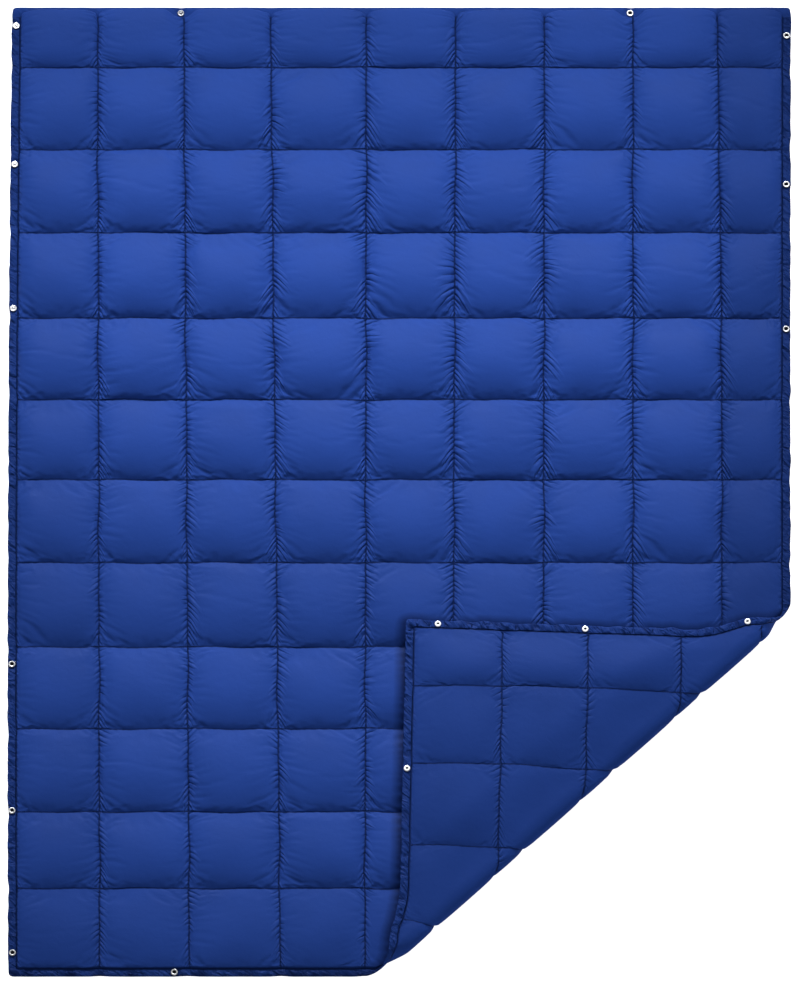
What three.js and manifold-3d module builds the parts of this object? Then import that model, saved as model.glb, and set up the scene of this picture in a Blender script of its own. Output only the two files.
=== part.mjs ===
// A lightweight box-quilted blanket that lies flat with its lower right corner folded up and over.
// +X is across to the right, +Y is towards the head, +Z is up, in millimetres.
// The origin is under the middle of the blanket, on the surface that it rests on.
// The quilted body is one filled solid: two covers, the filling between them and the turned hem.
// Sixteen press fasteners are set through the hem.

import * as THREE from "three";
import { mergeVertices } from "three/addons/utils/BufferGeometryUtils.js";
import Module from "manifold-3d";

// Outline of the blanket
const LENGTH = 1760;
const LEFT_EDGE = { head: -639, middle: -641.5, foot: -637 };
const RIGHT_EDGE = { head: 644, middle: 639, foot: 636 };
const HEM_WIDTH = 14;
const HEM_THICKNESS = 3;
const CORNER_TRIM = 2.5;

// Upright seams: where each one lies across, at the head end and at the foot end
const UPRIGHT_SEAMS = [
  { head: -498, foot: -488 },
  { head: -356, foot: -342 },
  { head: -213, foot: -194 },
  { head: -55, foot: -57 },
  { head: 92, foot: 85 },
  { head: 238, foot: 233 },
  { head: 384, foot: 379 },
  { head: 522, middle: 527, foot: 517 },
];

// Rows of cells from the head down: where the seam on the foot side of each lies, and how full it is
const ROWS = [
  { footSide: 772, fullness: 0.9 },
  { footSide: 621, fullness: 0.98 },
  { footSide: 468.5, fullness: 1 },
  { footSide: 312, fullness: 1.02 },
  { footSide: 163, fullness: 1 },
  { footSide: 17, fullness: 0.98 },
  { footSide: -134, fullness: 0.97 },
  { footSide: -287, fullness: 0.97 },
  { footSide: -435, fullness: 0.98 },
  { footSide: -585, fullness: 1 },
  { footSide: -723, fullness: 0.96 },
  { footSide: -LENGTH / 2 + HEM_WIDTH, fullness: 0.92 },
];

// Thickness of the quilting
const SEAM_THICKNESS = 3;
const SEAM_LEVEL = 6;
const HEM_LEVEL = 3.2;
const CROWN_ABOVE = 16.5;
const CROWN_BELOW = 4.5;
const FLAP_CROWN_FACING_UP = 9;
const FLAP_CROWN_FACING_DOWN = 11;
const CELL_STEPS = [0, 0.15, 0.5, 0.85];
const CROWN_POWER = 4;
const UNDERSIDE_FLATTENING = 1.8;

// The folded corner
const CREASE_ANGLE = THREE.MathUtils.degToRad(45.87);
const CREASE_START = 593;
const BEND_RADIUS = 16;
const BEND_STEPS = 4;
const BEND_RADIUS_SHARE_AT_HEM = 0.45;
const PINCH_IN_BEND = 0.35;
const HEM_LOOP_RISE = 3;
const FOLD_SLACK = 31;
const SLACK_REACH = 110;
const SLACK_FADE = 90;
const FLAP_SLIDE = -9;
const FLAP_STRETCH = 0.022;
const FLAP_TOP = -255;
const FLAP_LEFT = 0;
const FLAP_CLEARANCE = 3;
const CREASE_PRESS = 0.35;
const CREASE_PRESS_REACH = 100;
const EDGE_SLOPE_WIDTH = 26;
const SNAP_TO_BEND_LINE = 5;

// Press fasteners, each set in the middle of the hem of one side
const FASTENERS = [
  { name: "snap_left_1", side: "left", at: 850, kind: "stud" },
  { name: "snap_left_2", side: "left", at: 595, kind: "stud" },
  { name: "snap_left_3", side: "left", at: 331, kind: "stud" },
  { name: "snap_left_4", side: "left", at: -317, kind: "socket" },
  { name: "snap_left_5", side: "left", at: -582, kind: "socket" },
  { name: "snap_left_6", side: "left", at: -838, kind: "socket" },
  { name: "snap_right_1", side: "right", at: 832, kind: "socket" },
  { name: "snap_right_2", side: "right", at: 558, kind: "socket" },
  { name: "snap_right_3", side: "right", at: 293, kind: "socket" },
  { name: "snap_right_4", side: "right", at: -314, kind: "socket" },
  { name: "snap_right_5", side: "right", at: -590, kind: "socket" },
  { name: "snap_right_6", side: "right", at: -828, kind: "socket" },
  { name: "snap_head_1", side: "head", at: -361, kind: "stud" },
  { name: "snap_head_2", side: "head", at: 379, kind: "socket" },
  { name: "snap_foot_1", side: "foot", at: -367, kind: "socket" },
  { name: "snap_foot_2", side: "foot", at: 368.5, kind: "socket" },
];
const FASTENER_GAP = 0.3;
const FASTENER_SIDES = 10;
const BARREL_RADIUS = 2.4;
const RING_RADIUS = 5.8;
const RING_THICKNESS = 1.4;
const RING_TOP_RADIUS = 4.8;
const CAP_RADIUS = 5.5;
const CAP_FACE_RADIUS = 4.4;
const CAP_THICKNESS = 1.15;
const CAP_DOT_RADIUS = 1.1;
const CAP_DOT_DEPTH = 0.4;
const SOCKET_RADIUS = 2.3;
const SOCKET_FLOOR_RADIUS = 2.1;
const SOCKET_DEPTH = 2.2;
const STUD_RADIUS = 2.1;
const STUD_HEIGHT = 1.6;
const HOLE_CUTTER_HEIGHT = 12;

// Distances below which two points count as one, and a point as lying on a line or on the edge
const SAME_POINT = 1e-4;
const ON_LINE = 1e-6;
const ON_EDGE = 1;

// Colours of the cloth and of the metal
const COVER_COLOUR = 0x2a4db0;
const METAL_COLOUR = 0xc9ccd1;

const wasm = await Module();
wasm.setup();

function smoothStep(share) {
  const t = THREE.MathUtils.clamp(share, 0, 1);
  return t * t * (3 - 2 * t);
}

// A side edge or a seam as a quadratic through its place at the head, the middle and the foot
function alongLength(place, up) {
  const t = 0.5 - up / LENGTH;
  const middle = place.middle ?? (place.head + place.foot) / 2;
  const bow = 4 * (middle - (place.head + place.foot) / 2);
  return THREE.MathUtils.lerp(place.head, place.foot, t) + bow * t * (1 - t);
}

function distanceFromEdge(across, up) {
  return Math.min(
    across - alongLength(LEFT_EDGE, up),
    alongLength(RIGHT_EDGE, up) - across,
    LENGTH / 2 - Math.abs(up),
  );
}

// How far the quilting has swollen, from 0 on the hem to 1 a little way in
function swollen(across, up) {
  return smoothStep((distanceFromEdge(across, up) - HEM_WIDTH) / EDGE_SLOPE_WIDTH);
}

// The crease: one unit vector across it, pointing to the folded corner, and one along it
const outward = new THREE.Vector2(Math.cos(CREASE_ANGLE), -Math.sin(CREASE_ANGLE));
const alongCrease = new THREE.Vector2(Math.sin(CREASE_ANGLE), Math.cos(CREASE_ANGLE));
const BEND_LENGTH = Math.PI * BEND_RADIUS;

// Where the flap covers the blanket, the layer under it is drawn in towards the crease by some
// slack. This is the share of that slack at a flat point, 0 where the blanket shows, and how far
// past the crease and along it the point is.
function atCrease(point) {
  const beyond = point.across * outward.x + point.up * outward.y - CREASE_START;
  const along = point.across * alongCrease.x + point.up * alongCrease.y;
  const creaseAcross = outward.x * CREASE_START + alongCrease.x * along;
  const creaseUp = outward.y * CREASE_START + alongCrease.y * along;
  const toTop = (creaseUp - FLAP_TOP) / outward.y;
  const toLeft = (creaseAcross - FLAP_LEFT) / outward.x;
  const covered = Math.max(Math.min(toTop, toLeft), 1);
  const drawnIn = smoothStep(covered / SLACK_FADE) * smoothStep(1 + beyond / covered);
  return { past: beyond - FOLD_SLACK * drawnIn, along, drawnIn };
}

function pastCrease(point) {
  return atCrease(point).past;
}

// Where a point of the flat blanket lies once the corner is folded over.
// A flat point has its place across and up, its side (1 upper, -1 lower), its share of the crown,
// the fullness of its row, and its share of the hem, from 1 on the hem to 0 on the quilting.
function folded(point) {
  const { past, along, drawnIn } = atCrease(point);
  const turn = THREE.MathUtils.clamp(past / BEND_RADIUS, 0, Math.PI);
  const reach = Math.max(past - BEND_LENGTH, 0);
  const settled = smoothStep(reach / SLACK_REACH);
  const own = swollen(point.across, point.up);
  const radius = BEND_RADIUS * THREE.MathUtils.lerp(BEND_RADIUS_SHARE_AT_HEM, 1, own);

  // Plan position of the cloth's middle layer, across the crease and along it
  const slack = THREE.MathUtils.lerp(drawnIn, 1, settled);
  let fromCrease = past;
  if (past > 0) fromCrease = radius * Math.sin(turn);
  if (reach > 0) fromCrease = FOLD_SLACK * (slack - drawnIn) - (1 + FLAP_STRETCH) * reach;
  const slid = along + FLAP_SLIDE * slack;
  const across = outward.x * (CREASE_START + fromCrease) + alongCrease.x * slid;
  const up = outward.y * (CREASE_START + fromCrease) + alongCrease.y * slid;

  // Height of the middle layer: on the surface, or over the part of the blanket that it lies on.
  // Near the crease both layers are pressed flatter.
  const pressed = 1 - CREASE_PRESS * smoothStep(1 + fromCrease / CREASE_PRESS_REACH);
  const flatLevel = THREE.MathUtils.lerp(SEAM_LEVEL, HEM_LEVEL, point.hem);
  const hemTop = HEM_LEVEL + HEM_THICKNESS / 2;
  const crownTop = SEAM_LEVEL + SEAM_THICKNESS / 2 + CROWN_ABOVE * pressed;
  const under = THREE.MathUtils.lerp(hemTop, crownTop, swollen(across, up));
  const loop = HEM_LOOP_RISE * (1 - own) * (1 - settled);
  const lowerHalf = HEM_THICKNESS / 2 + FLAP_CROWN_FACING_DOWN * pressed * own;
  const flapLevel = under + FLAP_CLEARANCE + loop + lowerHalf;
  const lifted = (1 - Math.cos(turn)) / 2;
  const level = THREE.MathUtils.lerp(flatLevel, flapLevel, lifted);

  // Distance from the middle layer to the cover
  const flap = smoothStep(past / BEND_LENGTH);
  const half = THREE.MathUtils.lerp(SEAM_THICKNESS, HEM_THICKNESS, point.hem) / 2;
  const flattened = Math.min(1, UNDERSIDE_FLATTENING * point.crown);
  const above = THREE.MathUtils.lerp(CROWN_ABOVE, FLAP_CROWN_FACING_DOWN, flap) * point.crown;
  const below = THREE.MathUtils.lerp(
    CROWN_BELOW * flattened,
    FLAP_CROWN_FACING_UP * point.crown,
    flap,
  );
  const pinched = 1 - PINCH_IN_BEND * Math.sin(turn);
  const swell = point.side > 0 ? above * point.fullness * pinched * pressed : below;
  const offset = point.side * (half + swell);
  const inwards = Math.sin(turn) * offset;
  return new THREE.Vector3(
    across - outward.x * inwards,
    up - outward.y * inwards,
    level + Math.cos(turn) * offset,
  );
}

// Lines of the flat pattern in one direction: each bay between two seams is cut at the cell steps
function patternLines(bayCount) {
  const lines = [{ bay: 0, share: 0, hem: 1 }];
  for (let bay = 1; bay < bayCount - 1; bay++) {
    for (const share of CELL_STEPS) {
      lines.push({ bay, share, hem: bay === 1 && share === 0 ? 1 : 0 });
    }
  }
  lines.push({ bay: bayCount - 1, share: 0, hem: 1 });
  lines.push({ bay: bayCount - 1, share: 1, hem: 1 });
  return lines;
}

function crownShare(line, bayCount) {
  if (line.bay === 0 || line.bay === bayCount - 1) return 0;
  return 1 - Math.abs(2 * line.share - 1) ** CROWN_POWER;
}

// Both covers as one grid of flat points, the upper cover first
function flatPoints() {
  const head = LENGTH / 2;
  const rowPlaces = [head, head - HEM_WIDTH, ...ROWS.map((row) => row.footSide), -head];
  const columnCount = UPRIGHT_SEAMS.length + 3;
  const rowCount = rowPlaces.length - 1;
  const columns = patternLines(columnCount);
  const rows = patternLines(rowCount);
  const points = [];
  for (const side of [1, -1]) {
    for (const row of rows) {
      const up = THREE.MathUtils.lerp(rowPlaces[row.bay], rowPlaces[row.bay + 1], row.share);
      const left = alongLength(LEFT_EDGE, up);
      const right = alongLength(RIGHT_EDGE, up);
      const seams = UPRIGHT_SEAMS.map((seam) => alongLength(seam, up));
      const places = [left, left + HEM_WIDTH, ...seams, right - HEM_WIDTH, right];
      for (const column of columns) {
        const across = THREE.MathUtils.lerp(
          places[column.bay],
          places[column.bay + 1],
          column.share,
        );
        points.push({
          across,
          up,
          side,
          crown: crownShare(column, columnCount) * crownShare(row, rowCount),
          fullness: ROWS[THREE.MathUtils.clamp(row.bay - 1, 0, ROWS.length - 1)].fullness,
          hem: Math.max(column.hem, row.hem),
        });
      }
    }
  }
  return { points, wide: columns.length, high: rows.length };
}

// The four outer corners are drawn in a little, so that the hem turns round them
function trimCorners(grid) {
  const last = grid.wide * (grid.high - 1);
  for (const layer of [0, grid.wide * grid.high]) {
    for (const corner of [0, grid.wide - 1, last, last + grid.wide - 1]) {
      const point = grid.points[layer + corner];
      point.across -= Math.sign(point.across) * CORNER_TRIM;
      point.up -= Math.sign(point.up) * CORNER_TRIM;
    }
  }
}

// Triangles of both covers and of the edge between them, all facing out
function gridTriangles(wide, high) {
  const triangles = [];
  const layer = wide * high;
  for (let row = 0; row < high - 1; row++) {
    for (let column = 0; column < wide - 1; column++) {
      const a = row * wide + column;
      const b = a + 1;
      const c = a + wide;
      const d = c + 1;
      triangles.push([a, c, b], [b, c, d]);
      triangles.push([a + layer, b + layer, c + layer], [b + layer, d + layer, c + layer]);
    }
  }
  const rim = [];
  for (let column = 0; column < wide; column++) rim.push(column);
  for (let row = 1; row < high; row++) rim.push(row * wide + wide - 1);
  for (let column = wide - 2; column >= 0; column--) rim.push((high - 1) * wide + column);
  for (let row = high - 2; row > 0; row--) rim.push(row * wide);
  rim.forEach((from, index) => {
    const to = rim[(index + 1) % rim.length];
    triangles.push([from, to, from + layer], [to, to + layer, from + layer]);
  });
  return triangles;
}

// Flat points close to a bend line are slid on to it, so that no sliver is cut beside them
function slideToBendLines(points, lines) {
  for (const point of points) {
    const past = pastCrease(point);
    const line = lines.find((value) => Math.abs(past - value) < SNAP_TO_BEND_LINE);
    if (line === undefined || distanceFromEdge(point.across, point.up) < ON_EDGE) continue;
    point.across += outward.x * (line - past);
    point.up += outward.y * (line - past);
  }
}

// The triangles are cut along a line parallel to the crease, and the cut points join the list
function cutAlong(points, triangles, line) {
  const side = (index) => {
    const past = pastCrease(points[index]) - line;
    return Math.abs(past) < ON_LINE ? 0 : Math.sign(past);
  };
  const cutPoints = new Map();
  const cutPoint = (a, b) => {
    const key = a < b ? `${a}_${b}` : `${b}_${a}`;
    if (!cutPoints.has(key)) {
      const from = points[a];
      const to = points[b];
      const start = pastCrease(from);
      const t = (line - start) / (pastCrease(to) - start);
      const between = { side: from.side };
      for (const value of ["across", "up", "crown", "fullness", "hem"]) {
        between[value] = THREE.MathUtils.lerp(from[value], to[value], t);
      }
      points.push(between);
      cutPoints.set(key, points.length - 1);
    }
    return cutPoints.get(key);
  };
  const cut = [];
  for (const triangle of triangles) {
    const polygons = { 1: [], "-1": [] };
    for (let corner = 0; corner < 3; corner++) {
      const from = triangle[corner];
      const to = triangle[(corner + 1) % 3];
      for (const half of [1, -1]) {
        if (side(from) !== -half) polygons[half].push(from);
      }
      if (side(from) * side(to) < 0) {
        const between = cutPoint(from, to);
        polygons[1].push(between);
        polygons[-1].push(between);
      }
    }
    for (const half of [1, -1]) {
      const polygon = polygons[half];
      const reaches = polygon.some((index) => side(index) === half);
      if (!reaches) continue;
      for (let corner = 2; corner < polygon.length; corner++) {
        cut.push([polygon[0], polygon[corner - 1], polygon[corner]]);
      }
    }
  }
  return cut;
}

// The quilted body: the flat pattern is cut along the bend lines, and then folded
function quiltGeometry() {
  const grid = flatPoints();
  trimCorners(grid);
  const { points } = grid;
  const bendLines = [];
  for (let step = 0; step <= BEND_STEPS; step++) bendLines.push((BEND_LENGTH * step) / BEND_STEPS);
  slideToBendLines(points, bendLines);
  let triangles = gridTriangles(grid.wide, grid.high);
  for (const line of bendLines) triangles = cutAlong(points, triangles, line);
  const geometry = new THREE.BufferGeometry().setFromPoints(points.map(folded));
  geometry.setIndex(triangles.flat());
  return geometry;
}

// A fastener's metal is one turned piece: the ring on the upper side, the barrel and the cap below
function fastenerProfile(kind) {
  const upper = HEM_THICKNESS / 2 + FASTENER_GAP;
  const ringTop = upper + RING_THICKNESS;
  const lower = -upper;
  const capBottom = lower - CAP_THICKNESS;
  const cap = [
    [0, capBottom + CAP_DOT_DEPTH],
    [CAP_DOT_RADIUS, capBottom],
    [CAP_FACE_RADIUS, capBottom],
    [CAP_RADIUS, lower],
    [BARREL_RADIUS, lower],
    [BARREL_RADIUS, upper],
    [RING_RADIUS, upper],
    [RING_TOP_RADIUS, ringTop],
  ];
  const socket = [
    [SOCKET_RADIUS, ringTop],
    [SOCKET_FLOOR_RADIUS, ringTop - SOCKET_DEPTH],
    [0, ringTop - SOCKET_DEPTH],
  ];
  const stud = [
    [STUD_RADIUS, ringTop - RING_THICKNESS / 2],
    [STUD_RADIUS, ringTop + STUD_HEIGHT / 2],
    [0, ringTop + STUD_HEIGHT],
  ];
  const profile = [...cap, ...(kind === "stud" ? stud : socket)];
  return profile.map(([radius, height]) => new THREE.Vector2(radius, height));
}

// The hem's point in which a fastener sits
function fastenerSeat(fastener) {
  const inset = HEM_WIDTH / 2;
  const point = { side: 1, crown: 0, fullness: 1, hem: 1 };
  const head = LENGTH / 2;
  point.up = fastener.at;
  if (fastener.side === "left") point.across = alongLength(LEFT_EDGE, fastener.at) + inset;
  if (fastener.side === "right") point.across = alongLength(RIGHT_EDGE, fastener.at) - inset;
  if (fastener.side === "head" || fastener.side === "foot") {
    point.across = fastener.at;
    point.up = fastener.side === "head" ? head - inset : inset - head;
  }
  const upper = folded(point);
  const lower = folded({ ...point, side: -1 });
  const facesUp = upper.z > lower.z;
  return { centre: upper.add(lower).multiplyScalar(0.5), facesUp };
}

function solidFrom(geometry) {
  const bare = geometry.clone();
  bare.deleteAttribute("normal");
  bare.deleteAttribute("uv");
  const merged = mergeVertices(bare, SAME_POINT);
  return new wasm.Manifold(
    new wasm.Mesh({
      numProp: 3,
      vertProperties: new Float32Array(merged.attributes.position.array),
      triVerts: new Uint32Array(merged.index.array),
    }),
  );
}

function geometryFrom(solid) {
  const made = solid.getMesh();
  const geometry = new THREE.BufferGeometry();
  geometry.setAttribute("position", new THREE.BufferAttribute(made.vertProperties, 3));
  geometry.setIndex(new THREE.BufferAttribute(made.triVerts, 1));
  return geometry;
}

// The hem is pierced where each fastener's barrel goes through
function piercedQuilt(seats) {
  let solid = solidFrom(quiltGeometry());
  for (const seat of seats) {
    const radius = BARREL_RADIUS + FASTENER_GAP;
    const cutter = new THREE.CylinderGeometry(radius, radius, HOLE_CUTTER_HEIGHT, FASTENER_SIDES);
    cutter.rotateX(Math.PI / 2);
    cutter.translate(seat.centre.x, seat.centre.y, seat.centre.z);
    solid = solid.subtract(solidFrom(cutter));
  }
  const geometry = geometryFrom(solid);
  geometry.computeVertexNormals();
  return geometry;
}

const cover = new THREE.MeshStandardMaterial({
  color: COVER_COLOUR,
  roughness: 0.55,
  metalness: 0,
});
const metal = new THREE.MeshStandardMaterial({
  color: METAL_COLOUR,
  roughness: 0.3,
  metalness: 1,
});

const seats = FASTENERS.map(fastenerSeat);
const quilt = new THREE.Mesh(piercedQuilt(seats), cover);
quilt.name = "blanket_quilt";

const blanket = new THREE.Group();
blanket.add(quilt);
FASTENERS.forEach((fastener, index) => {
  const geometry = new THREE.LatheGeometry(fastenerProfile(fastener.kind), FASTENER_SIDES);
  geometry.rotateX(Math.PI / 2);
  const snap = new THREE.Mesh(geometry, metal);
  snap.name = fastener.name;
  snap.position.copy(seats[index].centre);
  if (!seats[index].facesUp) snap.rotation.x = Math.PI;
  blanket.add(snap);
});

// The blanket is set so that its box stands centred over the origin
quilt.geometry.computeBoundingBox();
const box = quilt.geometry.boundingBox;
blanket.position.set(-(box.min.x + box.max.x) / 2, -(box.min.y + box.max.y) / 2, 0);
const part = new THREE.Group();
part.add(blanket);

export default part;
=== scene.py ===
# %% [markdown]
# # A lightweight quilted blanket with one corner folded over
#
# The blanket is two covers of tight taffeta, sewn together in a grid of boxes, with loose filling
# in each box, a turned hem all round and sixteen press fasteners in the hem. It lies flat, and its
# lower right corner is folded up and over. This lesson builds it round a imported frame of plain
# solids, which says where every piece goes. All sizes are in metres.

# %% Open the frame
import math

import bpy
import numpy as np
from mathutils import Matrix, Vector


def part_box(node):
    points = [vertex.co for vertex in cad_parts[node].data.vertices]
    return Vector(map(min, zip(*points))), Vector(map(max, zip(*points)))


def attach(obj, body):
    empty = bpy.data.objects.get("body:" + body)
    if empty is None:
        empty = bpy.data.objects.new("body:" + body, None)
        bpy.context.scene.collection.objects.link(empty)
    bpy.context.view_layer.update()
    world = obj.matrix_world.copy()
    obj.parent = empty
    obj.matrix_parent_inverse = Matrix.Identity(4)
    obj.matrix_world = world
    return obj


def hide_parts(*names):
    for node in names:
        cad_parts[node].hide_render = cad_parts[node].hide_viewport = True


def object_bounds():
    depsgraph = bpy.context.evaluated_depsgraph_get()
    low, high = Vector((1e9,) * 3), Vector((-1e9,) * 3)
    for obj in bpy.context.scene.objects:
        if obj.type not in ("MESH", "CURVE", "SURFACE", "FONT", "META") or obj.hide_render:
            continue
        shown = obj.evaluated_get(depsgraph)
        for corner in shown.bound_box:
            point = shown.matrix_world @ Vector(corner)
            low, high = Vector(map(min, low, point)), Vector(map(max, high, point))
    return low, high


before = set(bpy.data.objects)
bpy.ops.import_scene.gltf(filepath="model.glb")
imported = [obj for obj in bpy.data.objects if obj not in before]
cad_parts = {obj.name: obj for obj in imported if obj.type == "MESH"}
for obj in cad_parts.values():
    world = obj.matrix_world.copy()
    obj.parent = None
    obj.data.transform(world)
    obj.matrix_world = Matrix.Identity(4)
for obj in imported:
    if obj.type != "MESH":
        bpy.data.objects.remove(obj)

cad_low, cad_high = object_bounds()
print("frame of", len(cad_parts), "solids, from", tuple(cad_low), "to", tuple(cad_high))

# %% [markdown]
# ## The camera
#
# The photo looks down on the blanket from the foot side, at about 64 degrees above the surface,
# through a very long lens, so that the edges stay parallel. An orthographic camera would do the
# same, but a perspective one with a long lens is kept here, because it frames the piece just as
# well from every other side.

# %% Camera
VIEW_ELEVATION = math.radians(64)
VIEW_DISTANCE = 58.04
VIEW_LENS = 1300
SENSOR = 36
FAR_CLIP = 300

camera_data = bpy.data.cameras.new("camera")
camera_data.lens = VIEW_LENS
camera_data.sensor_width = SENSOR
camera_data.clip_end = FAR_CLIP
camera = bpy.data.objects.new("camera", camera_data)
bpy.context.scene.collection.objects.link(camera)
camera_way = Vector((0, -math.cos(VIEW_ELEVATION), math.sin(VIEW_ELEVATION)))
AIM_ACROSS = -0.0012
camera.location = Vector((AIM_ACROSS, 0, 0)) + camera_way * VIEW_DISTANCE
camera.rotation_euler = camera_way.to_track_quat("Z", "Y").to_euler()
bpy.context.scene.camera = camera
print("camera at", tuple(round(value, 2) for value in camera.location))

# %% [markdown]
# ## Floor and light
#
# The photo is a studio picture on plain white without a shadow, as one gets on a table that is lit
# from below. The floor here is such a table: pale, and glowing. The Light Path node keeps most of
# that glow for the camera, so that the fold's underside stays as dark as in the photo. One soft
# light from the head side does the modelling: every cell is bright where it faces the head, and
# falls into shade just above its lower seam. A honeycomb in front of it, which Blender calls
# spread, narrows it to a pool, brightest a little above the middle. A weak white card overhead is
# only there for the press fasteners, which are metal and need something white to mirror.

# %% Floor
FLOOR_HALF = 140
FLOOR_DROP = 0.0004
FLOOR_WHITE = (0.93, 0.93, 0.94, 1)
FLOOR_GLOW_SEEN = 1.0
FLOOR_GLOW_GIVEN = 0.12

bpy.ops.object.select_all(action="DESELECT")
bpy.ops.mesh.primitive_plane_add(size=2 * FLOOR_HALF, location=(0, 0, -FLOOR_DROP))
floor = bpy.context.active_object
floor.name = "floor"
floor_material = bpy.data.materials.new("floor_white")
floor_material.use_nodes = True
floor_shader = floor_material.node_tree.nodes["Principled BSDF"]
floor_shader.inputs["Base Color"].default_value = FLOOR_WHITE
floor_shader.inputs["Roughness"].default_value = 0.9
floor_shader.inputs["Emission Color"].default_value = (1, 1, 1, 1)
ray = floor_material.node_tree.nodes.new("ShaderNodeLightPath")
glow = floor_material.node_tree.nodes.new("ShaderNodeMapRange")
glow.inputs["To Min"].default_value = FLOOR_GLOW_GIVEN
glow.inputs["To Max"].default_value = FLOOR_GLOW_SEEN
floor_material.node_tree.links.new(ray.outputs["Is Camera Ray"], glow.inputs["Value"])
floor_material.node_tree.links.new(glow.outputs["Result"], floor_shader.inputs["Emission Strength"])
floor.data.materials.append(floor_material)

# %% Light
WORLD_STRENGTH = 0.37
KEY_SIZE = (2.0, 0.8)
KEY_AIM = Vector((-0.09, -0.07, 0))
KEY_ELEVATION = math.radians(34)
KEY_DISTANCE = 3.0
KEY_SPREAD = math.radians(45)
KEY_WATTS = 13.2
CARD_SIZE = 1.6
CARD_ELEVATION = math.radians(62)
CARD_WATTS = 11

world = bpy.data.worlds.new("studio")
bpy.context.scene.world = world
world.use_nodes = True
world.node_tree.nodes["Background"].inputs["Color"].default_value = (1, 1, 1, 1)
world.node_tree.nodes["Background"].inputs["Strength"].default_value = WORLD_STRENGTH
key_data = bpy.data.lights.new("key", "AREA")
key_data.shape = "RECTANGLE"
key_data.size, key_data.size_y = KEY_SIZE
key_data.energy = KEY_WATTS
key_data.spread = KEY_SPREAD
key = bpy.data.objects.new("key", key_data)
bpy.context.scene.collection.objects.link(key)
key_way = Vector((0, math.cos(KEY_ELEVATION), math.sin(KEY_ELEVATION)))
key.location = KEY_AIM + key_way * KEY_DISTANCE
key.rotation_euler = key_way.to_track_quat("Z", "Y").to_euler()
key.visible_camera = False

card_data = bpy.data.lights.new("card", "AREA")
card_data.size = CARD_SIZE
card_data.energy = CARD_WATTS
card = bpy.data.objects.new("card", card_data)
bpy.context.scene.collection.objects.link(card)
card_way = Vector((0, math.cos(CARD_ELEVATION), math.sin(CARD_ELEVATION)))
card.location = card_way * KEY_DISTANCE
card.rotation_euler = card_way.to_track_quat("Z", "Y").to_euler()
card.visible_camera = False
bpy.context.scene.view_settings.view_transform = "Standard"
bpy.context.scene.view_settings.look = "None"
print("floor", 2 * FLOOR_HALF, "m wide, key light", KEY_WATTS, "W")

# %% [markdown]
# ## The flat pattern
#
# A maker draws this blanket flat: an outline, a hem line inside it, eight upright seams and
# eleven cross seams. Everything that follows starts from that drawing, so it comes first, as a
# few driving sizes and two functions that place the lines.

# %% Pattern sizes
LENGTH = 1.760
LEFT_EDGE = {"head": -0.639, "middle": -0.6415, "foot": -0.637}
RIGHT_EDGE = {"head": 0.644, "middle": 0.639, "foot": 0.636}
HEM_WIDTH = 0.014
UPRIGHT_SEAMS = [
    {"head": -0.498, "foot": -0.488},
    {"head": -0.356, "foot": -0.342},
    {"head": -0.213, "foot": -0.194},
    {"head": -0.055, "foot": -0.057},
    {"head": 0.092, "foot": 0.085},
    {"head": 0.238, "foot": 0.233},
    {"head": 0.384, "foot": 0.379},
    {"head": 0.522, "middle": 0.527, "foot": 0.517},
]
CROSS_SEAMS = [0.772, 0.621, 0.4685, 0.312, 0.163, 0.017, -0.134, -0.287, -0.435, -0.585, -0.723]
ROW_FULLNESS = [0.86, 0.88, 0.99, 1.02, 0.98, 0.88, 0.80, 0.70, 0.70, 0.72, 0.74, 0.52]
COLUMN_FULLNESS = [0.94, 1, 1, 1, 1, 1, 1, 1, 0.78]


def along_length(place, up):
    """A side edge or an upright seam, as a quadratic through its place at head, middle and foot."""
    straight = (place["head"] + place["foot"]) / 2
    bow = 4 * (place.get("middle", straight) - straight)
    t = 0.5 - up / LENGTH
    return place["head"] + (place["foot"] - place["head"]) * t + bow * t * (1 - t)


row_places = np.array([LENGTH / 2, LENGTH / 2 - HEM_WIDTH, *CROSS_SEAMS,
                       HEM_WIDTH - LENGTH / 2, -LENGTH / 2])


def column_places(up):
    """The upright lines' places across at one height: edge, hem line, seams, hem line, edge."""
    left = along_length(LEFT_EDGE, up)
    right = along_length(RIGHT_EDGE, up)
    seams = [along_length(seam, up) for seam in UPRIGHT_SEAMS]
    return np.stack([left, left + HEM_WIDTH, *seams, right - HEM_WIDTH, right], axis=-1)


ROW_BAYS = len(row_places) - 1
COLUMN_BAYS = len(UPRIGHT_SEAMS) + 3
heights = np.linspace(-LENGTH / 2, LENGTH / 2, 400)
SHIFT = cad_low.x - along_length(LEFT_EDGE, heights).min()
print(COLUMN_BAYS - 2, "by", ROW_BAYS - 2, "cells, set", round(SHIFT * 1000, 2), "mm across")

# %% [markdown]
# ## Quilting by cloth simulation
#
# A quilted cover is cut larger than the grid that it is sewn to. The spare cloth along the
# upright seams gathers into small slanting puckers, and the filling pushes the rest up into a
# pillow. This could be sculpted, but Blender's Cloth makes truer creases. A sample of boxes is
# enough, because each cell of the blanket then takes one of them, half of them mirrored. First
# come its sizes and the shapes of a pillow, plain and settled.

# %% Sample of boxes
SAMPLE_ACROSS = 6
SAMPLE_DOWN = 6
BOX_WIDTH = 0.1445
BOX_HEIGHT = 0.152
STEPS_ACROSS = 26
STEPS_DOWN = 56
SPARE_ACROSS = 1.030
SPARE_DOWN = 1.055
SPARE_VARIES = 0.012
FIRST_RISE = 0.008
FIRST_NOISE = 0.00015
CROWN = 0.0165
SIDE_FULLNESS = 0.7
FALL_CREST = 0.731


def mix(a, b, share):
    return a + (b - a) * share


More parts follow.
